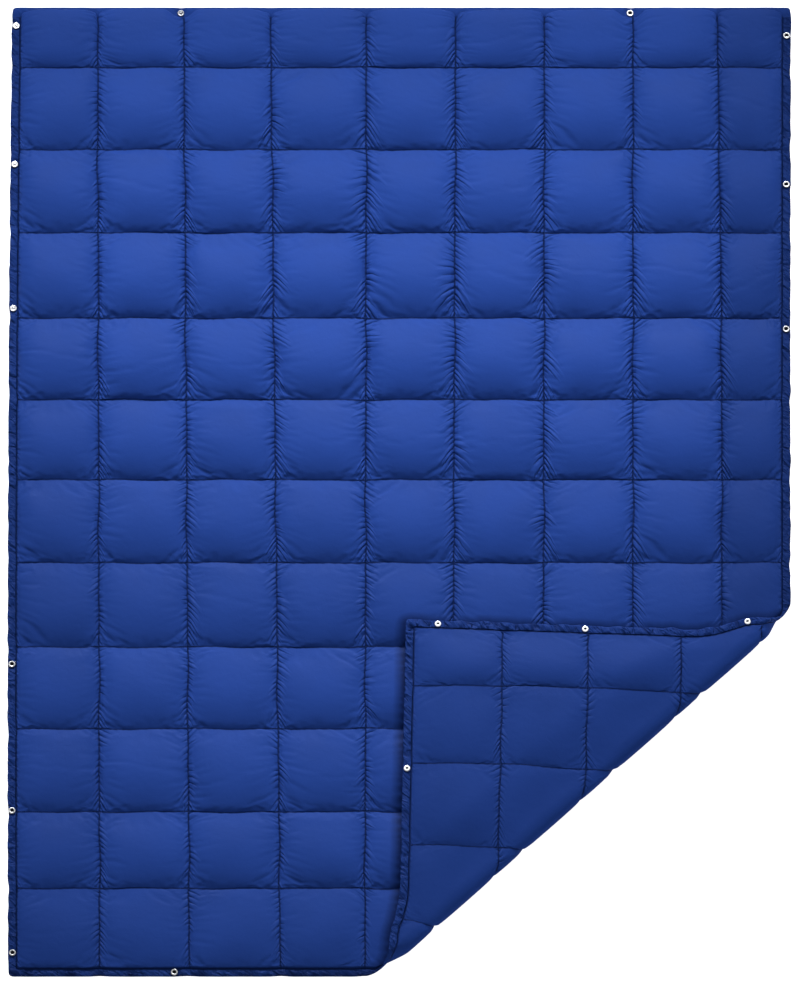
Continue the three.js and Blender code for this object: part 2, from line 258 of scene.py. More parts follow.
def pillow(across_share, down_share, power=4):
    """A plain pillow over one box, from 0 on its seams to 1 in its middle."""
    wide = 1 - np.abs(2 * across_share - 1) ** power
    high = 1 - np.abs(2 * down_share - 1) ** power
    return wide * high


def settled_pillow(across_share, down_share):
    """A pillow whose filling has settled: steep sides, its crest a little below the middle, a long
    slope above the crest and a short steep one below it, down to the seam."""
    sides = (1 - np.abs(2 * across_share - 1) ** 4) ** SIDE_FULLNESS
    fall = (1 - (1 - down_share) ** 2) * (1 - down_share ** 4)
    return sides * fall / FALL_CREST


def sheet_mesh(name, points):
    """A mesh of quads over a grid of points given as rows by columns by 3."""
    rows, columns = points.shape[:2]
    index = np.arange(rows * columns).reshape(rows, columns)
    quads = np.stack([index[:-1, :-1], index[1:, :-1], index[1:, 1:], index[:-1, 1:]], axis=-1)
    mesh = bpy.data.meshes.new(name)
    mesh.from_pydata(points.reshape(-1, 3).tolist(), [], quads.reshape(-1, 4).tolist())
    return mesh


print("sample of", SAMPLE_ACROSS, "by", SAMPLE_DOWN, "boxes of", BOX_WIDTH, "by", BOX_HEIGHT, "m")

# %% [markdown]
# ## Sewing and filling the sample
#
# The sheet starts at its cut size. Its seam points are pinned, and a shape key draws them in to
# the sewn grid over the first frames, as the machine does. Then pressure fills the boxes, and a
# light pull towards the foot lets the filling settle low in each of them. The simulation keeps
# its small creases, while the large form is the settled pillow, the same in every box.

# %% Sewn sample
SETTLE_PULL = 45
FRAMES_TO_SEW = 9
FRAMES_IN_ALL = 16
MIDDLE_DETAIL = 0.4


def sewn_sample():
    """Simulates the sample, and returns each box's move from its flat place, as an array of
    boxes by steps down by steps across by 3."""
    rng = np.random.default_rng(11)
    column = np.arange(SAMPLE_ACROSS * STEPS_ACROSS + 1)
    row = np.arange(SAMPLE_DOWN * STEPS_DOWN + 1)
    across, down = np.meshgrid(column / STEPS_ACROSS * BOX_WIDTH, row / STEPS_DOWN * BOX_HEIGHT)
    share_across, share_down = np.meshgrid(column % STEPS_ACROSS / STEPS_ACROSS,
                                           row % STEPS_DOWN / STEPS_DOWN)
    on_seam = (share_across == 0) | (share_down == 0)
    rise = FIRST_RISE * pillow(share_across, share_down)
    rise += np.where(on_seam, 0, rng.normal(0, FIRST_NOISE, rise.shape))
    sewn = np.stack([across, -down, rise], axis=-1)

    slow_across = rng.uniform(0, 2 * np.pi, 3)
    spare = SPARE_DOWN + SPARE_VARIES * sum(
        np.sin((k + 2) * 9 * across + (5 * k + 21) * down + slow_across[k]) for k in range(3))
    cut_down = np.cumsum(spare, axis=0) * BOX_HEIGHT / STEPS_DOWN
    cut_down -= cut_down[len(row) // 2] - down[len(row) // 2] * SPARE_DOWN
    middle = across.mean()
    cut = np.stack([(across - middle) * SPARE_ACROSS + middle, -cut_down, rise], axis=-1)

    sheet = bpy.data.objects.new("sample", sheet_mesh("sample", cut))
    bpy.context.scene.collection.objects.link(sheet)
    pinned = sheet.vertex_groups.new(name="seams")
    pinned.add(np.flatnonzero(on_seam.ravel()).tolist(), 1, "REPLACE")
    sheet.shape_key_add(name="cut")
    drawn_in = sheet.shape_key_add(name="sewn")
    drawn_in.data.foreach_set("co", sewn.astype(np.float32).ravel())
    for at_frame, value in ((1, 0), (FRAMES_TO_SEW, 1)):
        drawn_in.value = value
        drawn_in.keyframe_insert("value", frame=at_frame)

    cloth = sheet.modifiers.new("cloth", "CLOTH")
    cloth.settings.vertex_group_mass = "seams"
    cloth.settings.pin_stiffness = 50
    cloth.settings.quality = 5
    cloth.settings.mass = 0.01
    cloth.settings.tension_stiffness = 40
    cloth.settings.compression_stiffness = 10
    cloth.settings.shear_stiffness = 5
    cloth.settings.bending_stiffness = 1.5
    cloth.settings.use_pressure = True
    cloth.settings.uniform_pressure_force = 60
    cloth.collision_settings.use_collision = False
    cloth.point_cache.frame_end = FRAMES_IN_ALL
    scene = bpy.context.scene
    usual_gravity = scene.gravity.copy()
    scene.gravity = (0, -SETTLE_PULL, 0)
    for at_frame in range(1, FRAMES_IN_ALL + 1):
        scene.frame_set(at_frame)
    settled = sheet.evaluated_get(bpy.context.evaluated_depsgraph_get())
    places = np.zeros(sewn.size, np.float32)
    settled.data.vertices.foreach_get("co", places)
    scene.gravity = usual_gravity
    scene.frame_set(1)
    bpy.data.objects.remove(sheet)

    flat = np.stack([across, -down, 0 * across], axis=-1)
    moved = places.reshape(sewn.shape) - flat
    boxes = []
    for box_row in range(SAMPLE_DOWN):
        for box_column in range(SAMPLE_ACROSS):
            rows = slice(box_row * STEPS_DOWN, (box_row + 1) * STEPS_DOWN + 1)
            columns = slice(box_column * STEPS_ACROSS, (box_column + 1) * STEPS_ACROSS + 1)
            boxes.append(moved[rows, columns])
    return np.array(boxes)


boxes = sewn_sample()
boxes[..., 2] *= CROWN / np.percentile(boxes[..., 2].max(axis=(1, 2)), 80)
share_across, share_down = np.meshgrid(np.linspace(0, 1, STEPS_ACROSS + 1),
                                       np.linspace(0, 1, STEPS_DOWN + 1))
both_ways = (boxes + boxes[:, :, ::-1])[..., 2].mean(axis=0) / 2
at_corner = np.abs(2 * share_across - 1) ** 1.5 * (0.35 + share_down)
kept_detail = mix(MIDDLE_DETAIL, 1, np.clip(at_corner, 0, 1))
boxes[..., 2] = CROWN * settled_pillow(share_across, share_down) + kept_detail * (
    boxes[..., 2] - both_ways)
print(len(boxes), "boxes, crowned", (boxes[..., 2].max(axis=(1, 2)) * 1000).round(1).tolist()[:6], "mm")

# %% [markdown]
# ## Where each flat point lies
#
# The fold is worked out as a paper fold is: a flat point past the crease travels round a bend and
# then lies back over the blanket. Written as a formula on whole arrays, it places every point of
# the fine mesh, with the same crease, bend and slack as the frame's plain solid has.
#
# Cloth in two loose layers is kinder than paper, though. The layer hidden under the corner is
# drawn in by a little slack, which lets the corner lie further out than a mirror image would.

# %% Fold sizes
SEAM_HALF = 0.0015
SEAM_LEVEL = 0.006
HEM_LEVEL = 0.0032
HEM_HALF = 0.0015
CROWN_BELOW = 0.0045
FLAP_CROWN_FACING_UP = 0.0060
FLAP_CROWN_FACING_DOWN = 0.0065
UNDERSIDE_FLATTENING = 1.8
CREASE_ANGLE = math.radians(45.87)
CREASE_START = 0.593
BEND_RADIUS = 0.016
BEND_RADIUS_SHARE_AT_HEM = 0.45
PINCH_IN_BEND = 0.35
BEND_FLATTENING = 0.55
BEND_OUT = 0.0025
SEAM_NOTCH = 0.0035
SEAM_WANDER = 0.0011
HEM_LOOP_RISE = 0.003
FOLD_SLACK = 0.031
SLACK_REACH = 0.110
SLACK_FADE = 0.090
FLAP_SLIDE = -0.009
FLAP_STRETCH = 0.022
FLAP_TOP = -0.255
FLAP_LEFT = 0.0
FLAP_CLEARANCE = 0.003
CREASE_PRESS = 0.35
CREASE_PRESS_REACH = 0.100
EDGE_SLOPE_WIDTH = 0.026
FLAP_SLOPE_WIDTH = 0.090

outward = np.array([math.cos(CREASE_ANGLE), -math.sin(CREASE_ANGLE)])
along_crease = np.array([math.sin(CREASE_ANGLE), math.cos(CREASE_ANGLE)])
BEND_LENGTH = math.pi * BEND_RADIUS
print("crease at", round(math.degrees(CREASE_ANGLE), 2), "degrees, bend", BEND_LENGTH, "m long")

# %% Fold
def smooth_step(share):
    t = np.clip(share, 0, 1)
    return t * t * (3 - 2 * t)


def distance_from_edge(across, up):
    left = across - along_length(LEFT_EDGE, up)
    right = along_length(RIGHT_EDGE, up) - across
    return np.minimum(np.minimum(left, right), LENGTH / 2 - np.abs(up))


def swollen(across, up, width):
    """How far the quilting has swollen: 0 on the hem, 1 a given width further in."""
    return smooth_step((distance_from_edge(across, up) - HEM_WIDTH) / width)


def raised_by_filling(across, up, width):
    """The same for the level of the flap, with each side on its own, so that no ridge runs in
    from the corner."""
    shares = [smooth_step((edge - HEM_WIDTH) / width)
              for edge in (along_length(RIGHT_EDGE, up) - across, up + LENGTH / 2)]
    return shares[0] * shares[1]


def uneven(along, beside, pitches):
    """A slow uneven wave along a seam, another one for each seam beside it."""
    return sum(np.sin(2 * np.pi * along / pitch + 37 * beside + k) for k, pitch in enumerate(pitches)) / 2


def at_crease(across, up):
    """How far past the crease and along it a flat point is, and how far the layer hidden under the
    flap is drawn in there by the slack: 0 where the blanket shows, 1 deep under the flap."""
    beyond = across * outward[0] + up * outward[1] - CREASE_START
    along = across * along_crease[0] + up * along_crease[1]
    crease_across = outward[0] * CREASE_START + along_crease[0] * along
    crease_up = outward[1] * CREASE_START + along_crease[1] * along
    to_top = (crease_up - FLAP_TOP) / outward[1]
    to_left = (crease_across - FLAP_LEFT) / outward[0]
    covered = np.maximum(np.minimum(to_top, to_left), 0.001)
    drawn_in = smooth_step(covered / SLACK_FADE) * smooth_step(1 + beyond / covered)
    return beyond - FOLD_SLACK * drawn_in, along, drawn_in


def folded(across, up, side, crown, fullness, hem, half):
    """Where flat points lie: side is 1 on the upper cover and -1 on the lower one, crown is the
    share of the full swell, hem is 1 on the hem, and half is half the sewn thickness."""
    own = swollen(across, up, EDGE_SLOPE_WIDTH)
    across, up = (across + own * SEAM_WANDER * uneven(up, across, (0.36, 0.17, 0.11)),
                  up + own * SEAM_WANDER * uneven(across, up, (0.29, 0.15, 0.09)))
    past, along, drawn_in = at_crease(across, up)
    turn = np.clip(past / BEND_RADIUS, 0, math.pi)
    reach = np.maximum(past - BEND_LENGTH, 0)
    settled = smooth_step(reach / SLACK_REACH)
    radius = BEND_RADIUS * mix(BEND_RADIUS_SHARE_AT_HEM, 1, own)
    slack = mix(drawn_in, 1, settled)
    notch = SEAM_NOTCH * own * (1 - np.minimum(1, 4 * crown))
    from_crease = np.where(past > 0, (radius + BEND_OUT * own - notch) * np.sin(turn), past)
    from_crease = np.where(reach > 0, FOLD_SLACK * (slack - drawn_in) - (1 + FLAP_STRETCH) * reach,
                           from_crease)
    slid = along + FLAP_SLIDE * slack
    new_across = outward[0] * (CREASE_START + from_crease) + along_crease[0] * slid
    new_up = outward[1] * (CREASE_START + from_crease) + along_crease[1] * slid

    pressed = 1 - CREASE_PRESS * smooth_step(1 + from_crease / CREASE_PRESS_REACH)
    flat_level = mix(SEAM_LEVEL, HEM_LEVEL, hem)
    hem_top = HEM_LEVEL + HEM_HALF
    crown_top = SEAM_LEVEL + SEAM_HALF + CROWN * pressed
    under = mix(hem_top, crown_top, swollen(new_across, new_up, EDGE_SLOPE_WIDTH))
    loop = HEM_LOOP_RISE * (1 - own) * (1 - settled)
    raised = mix(own, raised_by_filling(across, up, FLAP_SLOPE_WIDTH), settled)
    flap_level = under + FLAP_CLEARANCE + loop + HEM_HALF + FLAP_CROWN_FACING_DOWN * pressed * raised
    level = mix(flat_level, flap_level, (1 - np.cos(turn)) / 2)

    flap = smooth_step(past / BEND_LENGTH)
    above = mix(CROWN, FLAP_CROWN_FACING_DOWN, flap) * crown * fullness
    above = above * (1 - PINCH_IN_BEND * np.sin(turn)) * pressed
    flattened = np.minimum(1, UNDERSIDE_FLATTENING * crown)
    below = mix(CROWN_BELOW * flattened, FLAP_CROWN_FACING_UP * crown, flap)
    below = below * (1 - BEND_FLATTENING * np.sin(turn)) * mix(1, pressed, flap)
    offset = side * (half + (above if side > 0 else below))
    inwards = np.sin(turn) * offset
    return np.stack([new_across - outward[0] * inwards + SHIFT, new_up - outward[1] * inwards,
                     level + np.cos(turn) * offset], axis=-1)


# %% [markdown]
# ## Both covers, point by point
#
# Each cover is one regular grid of points over the pattern, with more steps where it shows. The
# lines of the grid are crowded towards the seams, where the puckers are. Every cell is filled
# with one box of the sewn sample, resampled by smooth curves through its points.

# %% Grid lines
HEM_SHARES = np.array([0, 0.12, 0.3, 0.5, 0.7, 0.88, 1])
CELL_STEPS_ACROSS = 46
CELL_STEPS_DOWN = 54
HIDDEN_STEPS = 10
CROWDING_ACROSS = 0.55
CROWDING_DOWN = 0.35
FIRST_FLAP_COLUMN = 4
FIRST_FLAP_ROW = 7


def cell_shares(steps, crowding):
    """Even steps from 0 up to 1, drawn towards both ends."""
    t = np.arange(steps) / steps
    return t - crowding * np.sin(2 * np.pi * t) / (2 * np.pi)


def grid_lines(bays, steps_of, crowding):
    """The bay, share, and hem depth of every line in one direction."""
    lines = []
    for bay in range(bays):
        if bay == 0:
            shares, depths = HEM_SHARES[:-1], 1 - HEM_SHARES[:-1]
        elif bay == bays - 1:
            shares, depths = HEM_SHARES, HEM_SHARES
        else:
            shares = cell_shares(steps_of(bay - 1), crowding)
            depths = np.zeros(len(shares))
        lines += [(bay, share, depth) for share, depth in zip(shares, depths)]
    bay, share, depth = (np.array(values) for values in zip(*lines))
    return {"bay": bay.astype(int), "share": share, "depth": depth}


def cubic_weights(shares, steps):
    """Rows of weights that read a smooth curve through steps + 1 even points at each share."""
    weights = np.zeros((len(shares), steps + 1))
    for row, share in enumerate(shares):
        place = min(share * steps, steps - 1e-9)
        start = int(place)
        t = place - start
        factors = (-t + 2 * t ** 2 - t ** 3, 2 - 5 * t ** 2 + 3 * t ** 3,
                   t + 4 * t ** 2 - 3 * t ** 3, t ** 3 - t ** 2)
        for offset, factor in zip((-1, 0, 1, 2), factors):
            point = min(max(start + offset, 0), steps)
            weights[row, point] += factor / 2
    return weights


# %% [markdown]
# ## Where the fasteners go
#
# A press fastener is set through the middle of the hem. The table has each one's side of the
# blanket, its place along that side, its kind, and how dull its metal has gone. The covers need
# these places already, because the cloth leaves a hole for each barrel.

# %% Fasteners' places
FASTENERS = [
    {"name": "snap_left_1", "side": "left", "at": 0.850, "kind": "stud"},
    {"name": "snap_left_2", "side": "left", "at": 0.595, "kind": "stud", "dull": 0.35},
    {"name": "snap_left_3", "side": "left", "at": 0.331, "kind": "stud", "dull": 0.45},
    {"name": "snap_left_4", "side": "left", "at": -0.317, "kind": "socket", "dull": 0.55},
    {"name": "snap_left_5", "side": "left", "at": -0.582, "kind": "socket", "dull": 0.45},
    {"name": "snap_left_6", "side": "left", "at": -0.838, "kind": "socket", "dull": 0.5},
    {"name": "snap_right_1", "side": "right", "at": 0.832, "kind": "socket", "dull": 0.55},
    {"name": "snap_right_2", "side": "right", "at": 0.558, "kind": "socket", "dull": 0.55},
    {"name": "snap_right_3", "side": "right", "at": 0.293, "kind": "socket", "dull": 0.55},
    {"name": "snap_right_4", "side": "right", "at": -0.314, "kind": "socket"},
    {"name": "snap_right_5", "side": "right", "at": -0.590, "kind": "socket"},
    {"name": "snap_right_6", "side": "right", "at": -0.828, "kind": "socket"},
    {"name": "snap_head_1", "side": "head", "at": -0.361, "kind": "stud", "dull": 0.95},
    {"name": "snap_head_2", "side": "head", "at": 0.379, "kind": "socket", "dull": 0.4},
    {"name": "snap_foot_1", "side": "foot", "at": -0.367, "kind": "socket", "dull": 0.45},
    {"name": "snap_foot_2", "side": "foot", "at": 0.3685, "kind": "socket"},
]


def flat_seat(fastener):
    """The fastener's place on the flat pattern, in the middle of the hem."""
    inset = HEM_WIDTH / 2
    at = fastener["at"]
    if fastener["side"] == "left":
        return along_length(LEFT_EDGE, at) + inset, at
    if fastener["side"] == "right":
        return along_length(RIGHT_EDGE, at) - inset, at
    return at, LENGTH / 2 - inset if fastener["side"] == "head" else inset - LENGTH / 2


seats = np.array([flat_seat(fastener) for fastener in FASTENERS])
print(len(seats), "fasteners")

# %% [markdown]
# ## Every cell takes a box
#
# The cells are now filled one by one. Three things are not in the sewn sample and are added here:
# the first row's cloth bulges over the head hem, each row and column is a little more or less
# full, and every point learns which pucker runs through it. Puckers are straight, rise at the top
# of a cell and fall at its foot, so the line through a point can be worked out back to the seam.

# %% Covers
HEM_STITCH_HALF = 0.0007
HEM_EDGE_HALF = 0.0005
HEM_ROLL = 0.0010
HEM_STEEPNESS = 6
SEWN_HALF = 0.0006
CROWN_AT_MOST = 1.08
REST_CREST = 0.6
FIRST_ROW_RISE = 0.42
HEAD_BULGE = 0.034
BULGE_FULLNESS = 0.45
SNAP_CLEAR = 0.006
SNAP_CLEAR_FADE = 0.024
PUCKER_RISES = [-1.2, 0.5, 0.5, -0.6, 0.6]
PUCKER_FALL = 2.0
PUCKER_STRENGTH = {"least": 0.6, "more_at_foot": 0.55, "more_at_top": 0.35}
HEM_GATHER = 0.45


def box_for(column, row, side):
    """The sample box that a cell takes, and whether it is mirrored."""
    choice = (7 * column + 13 * row + (5 if side < 0 else 0)) % len(boxes)
    return choice, (column + row + (choice // 2)) % 2 == 1


def cell_moves(column, row, side, row_shares, column_shares):
    """The sewn moves of one cell, across, up and out, on its own grid. On the lower cover the box
    is turned a quarter, so that it hangs as it should once the corner is folded over."""
    choice, mirrored = box_for(column, row, side)
    box = boxes[choice]
    if mirrored:
        box = box[:, ::-1] * np.array([-1, 1, 1])
    if side > 0:
        return np.einsum("rj,jik,ci->rck", cubic_weights(row_shares, STEPS_DOWN), box,
                         cubic_weights(column_shares, STEPS_ACROSS))
    return np.einsum("cj,jik,ri->rck", cubic_weights(1 - column_shares, STEPS_DOWN),
                     box[..., [1, 0, 2]], cubic_weights(1 - row_shares, STEPS_ACROSS))


def pucker_lines(side, row, column, row_shares, column_shares, wide):
    """Small puckers run out from a gathered seam in straight lines, which rise at the top of a
    cell and fall at its foot. Says for every point of one cell how far it is from that seam, where
    on the seam its line starts, which seam and side it is, and how strong puckers are there."""
    high = row_places[row + 1] - row_places[row + 2]
    if side > 0:
        down = row_shares[:, None] * high + 0 * column_shares
        to_first = column_shares * wide[:, None]
        to_second = wide[:, None] - to_first
        length, number = high, column
    else:
        down = (1 - column_shares) * wide[:, None]
        to_first = row_shares[:, None] * high + 0 * column_shares
        to_second = high - to_first
        length, number = wide[:, None], row
    second = to_second < to_first
    away = np.where(second, to_second, to_first)
    rise = PUCKER_RISES[(3 * row + 4 * column) % len(PUCKER_RISES)]
    foot = (down - rise * away) / (1 + (PUCKER_FALL - rise) / length * away)
    start = 0.2 * (row if side > 0 else 20 - column)
    seed = 0.35 * (number + second) + np.where(second, 0.05, 0)
    share = np.clip(foot / length, 0, 1)
    strength = (PUCKER_STRENGTH["least"] + PUCKER_STRENGTH["more_at_foot"] * share ** 2
                + PUCKER_STRENGTH["more_at_top"] * (1 - share) ** 4)
    last = COLUMN_BAYS - 2 if side > 0 else ROW_BAYS - 2
    at_hem = np.isin(number + second, (0, last))
    strength = np.where(at_hem, HEM_GATHER * strength, strength)
    return {"away": away, "foot": start + foot, "seed": seed, "strength": strength}


def head_bulge(rise, row_shares, across):
    """How much the first row bulges out over the head hem, from 0 to 1. It stays clear of the two
    fasteners there."""
    bulge = np.clip(rise / CROWN, 0, 1) ** BULGE_FULLNESS * (1 - row_shares[:, None]) ** 3
    for fastener in FASTENERS:
        if fastener["side"] == "head":
            beside = np.abs(across - fastener["at"])
            bulge *= smooth_step((beside - SNAP_CLEAR) / SNAP_CLEAR_FADE)
    return bulge


def cover(side, steps_down, steps_across):
    """All points of one cover, with what the fold and the material need to know of them."""
    rows = grid_lines(ROW_BAYS, steps_down, CROWDING_DOWN)
    columns = grid_lines(COLUMN_BAYS, steps_across, CROWDING_ACROSS)
    up_line = mix(row_places[rows["bay"]], row_places[rows["bay"] + 1], rows["share"])
    places = column_places(up_line)
    share = columns["share"]
    across = mix(places[:, columns["bay"]], places[:, columns["bay"] + 1], share)
    up = np.repeat(up_line[:, None], across.shape[1], axis=1)
    drawn_across, drawn_up = across.copy(), up.copy()
    depth = np.maximum(rows["depth"][:, None], columns["depth"][None, :])
    hem_rows, hem_columns = (
        np.isin(lines["bay"], (0, bays - 1)) | ((lines["bay"] == 1) & (lines["share"] == 0))
        for lines, bays in ((rows, ROW_BAYS), (columns, COLUMN_BAYS)))
    hem = (hem_rows[:, None] | hem_columns[None, :]).astype(float)
    crown = np.zeros_like(across)
    fullness = np.ones_like(across)
    puckers = {"away": np.ones_like(across), "foot": np.zeros_like(across),
               "seed": np.zeros_like(across), "strength": np.zeros_like(across)}
    for row in range(ROW_BAYS - 2):
        r = np.flatnonzero(rows["bay"] == row + 1)
        for column in range(COLUMN_BAYS - 2):
            c = np.flatnonzero(columns["bay"] == column + 1)
            shares_down = rows["share"][r]
            at_head = row == 0 and side > 0
            if at_head:
                rising = REST_CREST * (shares_down / REST_CREST) ** FIRST_ROW_RISE
                shares_down = np.where(shares_down < REST_CREST, rising, shares_down)
            moves = cell_moves(column, row, side, shares_down, columns["share"][c])
            here = np.ix_(r, c)
            if at_head:
                moves[..., 1] += HEAD_BULGE * head_bulge(moves[..., 2], rows["share"][r], across[here])
            height = (row_places[row + 1] - row_places[row + 2]) / BOX_HEIGHT
            across[here] += moves[..., 0]
            up[here] += moves[..., 1] * height
            crown[here] = np.clip(moves[..., 2] / CROWN, 0, CROWN_AT_MOST)
            fullness[here] = ROW_FULLNESS[row] * COLUMN_FULLNESS[column] * min(1, height ** 0.5)
            wide = places[r, column + 2] - places[r, column + 1]
            cell = pucker_lines(side, row, column, rows["share"][r], columns["share"][c], wide)
            for name, values in cell.items():
                puckers[name][here] = values

    rolled = HEM_EDGE_HALF + HEM_ROLL * np.sqrt(np.clip(1 - (2 * depth - 1) ** 2, 0, 1))
    half = mix(HEM_STITCH_HALF, rolled, np.clip(depth * HEM_STEEPNESS, 0, 1))
    half = np.where(hem > 0, half, SEWN_HALF)
    return {"across": across, "up": up, "depth": depth, "hem": hem, "crown": crown,
            "fullness": fullness, "half": half, "rows": rows, "columns": columns, "side": side,
            "puckers": puckers, "drawn_across": drawn_across, "drawn_up": drawn_up}


upper = cover(1, lambda cell: CELL_STEPS_DOWN, lambda cell: CELL_STEPS_ACROSS)
lower = cover(-1,
              lambda cell: CELL_STEPS_DOWN if cell >= FIRST_FLAP_ROW - 1 else HIDDEN_STEPS,
              lambda cell: CELL_STEPS_ACROSS if cell >= FIRST_FLAP_COLUMN - 1 else HIDDEN_STEPS)
for name, grid in (("upper", upper), ("lower", lower)):
    print(name, "cover of", grid["across"].shape[0], "by", grid["across"].shape[1], "points")

# %% [markdown]
# ## The hem
#
# The hem is the same cloth turned over and stitched down, so it is a thicker band with a round
# outer edge. Its corners are drawn in, it ripples a little where the stitching gathers it, and it
# dips in at the end of every seam. All of this is done on the flat points, before the fold, so
# that it also holds on the folded corner.

# %% Hem
HEM_PUCKER = 0.0007
HEM_PUCKER_PITCH = 0.011
HEM_WAVE_PITCH = 0.05
HEM_WANDER = 0.0007
HEM_WANDER_PITCH = 0.045
FLAP_HEM_CRUMPLE = 5.5
FLAP_HEM_WANDER = 2.5
FLAP_HEM_FADE = 0.04
FLAP_HEM_REACH = 0.05
HEAD_REACH = 0.003
HEAD_LIFT = 0.003
EDGE_DIP = 0.0011
EDGE_DIP_REACH = 0.013
EDGE_DIP_FADE = 0.05
HEAD_DIP_SHARE = 0.35


def round_corners(grid):
    """The square corners of the hem become superellipses."""
    inner_left = along_length(LEFT_EDGE, grid["up"]) + HEM_WIDTH
    inner_right = along_length(RIGHT_EDGE, grid["up"]) - HEM_WIDTH
    side_way = np.sign(grid["across"])
    inner = np.where(side_way > 0, inner_right, inner_left)
    u = np.clip((grid["across"] - inner) * side_way / HEM_WIDTH, 0, 1)
    up_way = np.sign(grid["up"])
    inner_up = LENGTH / 2 - HEM_WIDTH
    v = np.clip((grid["up"] * up_way - inner_up) / HEM_WIDTH, 0, 1)
    both = (u > 0) & (v > 0)
    scale = np.where(both, np.maximum(u, v) / np.maximum((u ** 4 + v ** 4) ** 0.25, 1e-9), 1)
    grid["across"] = np.where(both, inner + side_way * u * scale * HEM_WIDTH, grid["across"])
    grid["up"] = np.where(both, up_way * (inner_up + v * scale * HEM_WIDTH), grid["up"])


def ripple(along, pitch, seed):
    """A soft uneven wave along a hem, between about -1 and 1."""
    rng = np.random.default_rng(seed)
    wave = 0
    for stretch in (0.7, 1, 1.45, 3.1):
        wave = wave + np.sin(2 * np.pi * along / (pitch * stretch) + rng.uniform(0, 2 * np.pi)
                             + 1.5 * np.sin(along / (pitch * 2.7 * stretch)))
    return wave / 2.6


def on_flap(grid):
    """1 on the folded corner, past the bend, and 0 on the rest."""
    return smooth_step((at_crease(grid["across"], grid["up"])[0] - BEND_LENGTH) / FLAP_HEM_FADE)


def shape_hem(grid):
    """Ripples and dips of the hem."""
    rows, columns = grid["rows"], grid["columns"]
    side_hem = np.isin(columns["bay"], (0, COLUMN_BAYS - 1))[None, :] & np.ones_like(grid["hem"], bool)
    along = np.where(side_hem, grid["up"], grid["across"])
    lift = ripple(along, HEM_PUCKER_PITCH, 3) * np.sin(np.pi * np.clip(grid["depth"], 0, 1))
    at_right = grid["across"] > RIGHT_EDGE["foot"] - FLAP_HEM_REACH
    crumpled = mix(1, FLAP_HEM_CRUMPLE, on_flap(grid) * at_right)
    grid["half"] = grid["half"] + np.where(grid["hem"] > 0, HEM_PUCKER * 0.5 * lift * crumpled, 0)
    wander = ripple(along, HEM_WANDER_PITCH, 8) * np.minimum(crumpled, FLAP_HEM_WANDER) * HEM_WANDER
    grid["across"] += np.where(side_hem, wander * grid["depth"], 0)
    wave = HEM_PUCKER * 0.35 * ripple(along, HEM_WAVE_PITCH, 4)
    grid["level"] = np.where(grid["hem"] > 0, wave, 0)
    outer = np.where(rows["bay"] == 0, smooth_step((rows["depth"] - 0.5) / 0.5), 0)[:, None]
    grid["up"] += HEAD_REACH * outer
    grid["level"] += HEAD_LIFT * np.where(rows["bay"] == 0, rows["depth"], 0)[:, None]

    edge = distance_from_edge(grid["across"], grid["up"])
    fade = smooth_step(1 - edge / EDGE_DIP_FADE)
    nearest_cross = np.abs(grid["up"][..., None] - np.array(CROSS_SEAMS)).min(axis=-1)
    seams = np.stack([along_length(seam, grid["up"]) for seam in UPRIGHT_SEAMS], axis=-1)
    nearest_upright = np.abs(grid["across"][..., None] - seams).min(axis=-1)
    dip_side = EDGE_DIP * np.exp(-(nearest_cross / EDGE_DIP_REACH) ** 2) * fade
    dip_end = EDGE_DIP * np.exp(-(nearest_upright / EDGE_DIP_REACH) ** 2) * fade
    dip_end = dip_end * np.where(grid["up"] > 0, HEAD_DIP_SHARE, 1)
    near_end = LENGTH / 2 - np.abs(grid["up"]) < edge + 1e-6
    grid["across"] -= np.where(near_end, 0, dip_side * np.sign(grid["across"]))
    grid["up"] -= np.where(near_end, dip_end * np.sign(grid["up"]), 0)


for grid in (upper, lower):
    round_corners(grid)
    shape_hem(grid)
print("hem ripples by", round(1000 * float(np.ptp(upper["level"])), 2), "mm")

# %% [markdown]
# ## Holes for the fasteners
#
# A hole could be cut by a Boolean, which leaves long thin faces in the cloth. Here the points of
# the grid nearest to each fastener are moved into a ring instead, and their neighbours give way
# evenly, so that the hole has clean quads all round it. The cloth is clamped thin there.

# %% Holes for the fasteners
HOLE_RADIUS = 0.00265
HOLE_EASE = 0.015
CLAMPED_HALF = 0.0006
CLAMP_REACH = 0.0065
CLAMP_FADE = 0.006
HEM_MIDDLE = len(HEM_SHARES) // 2


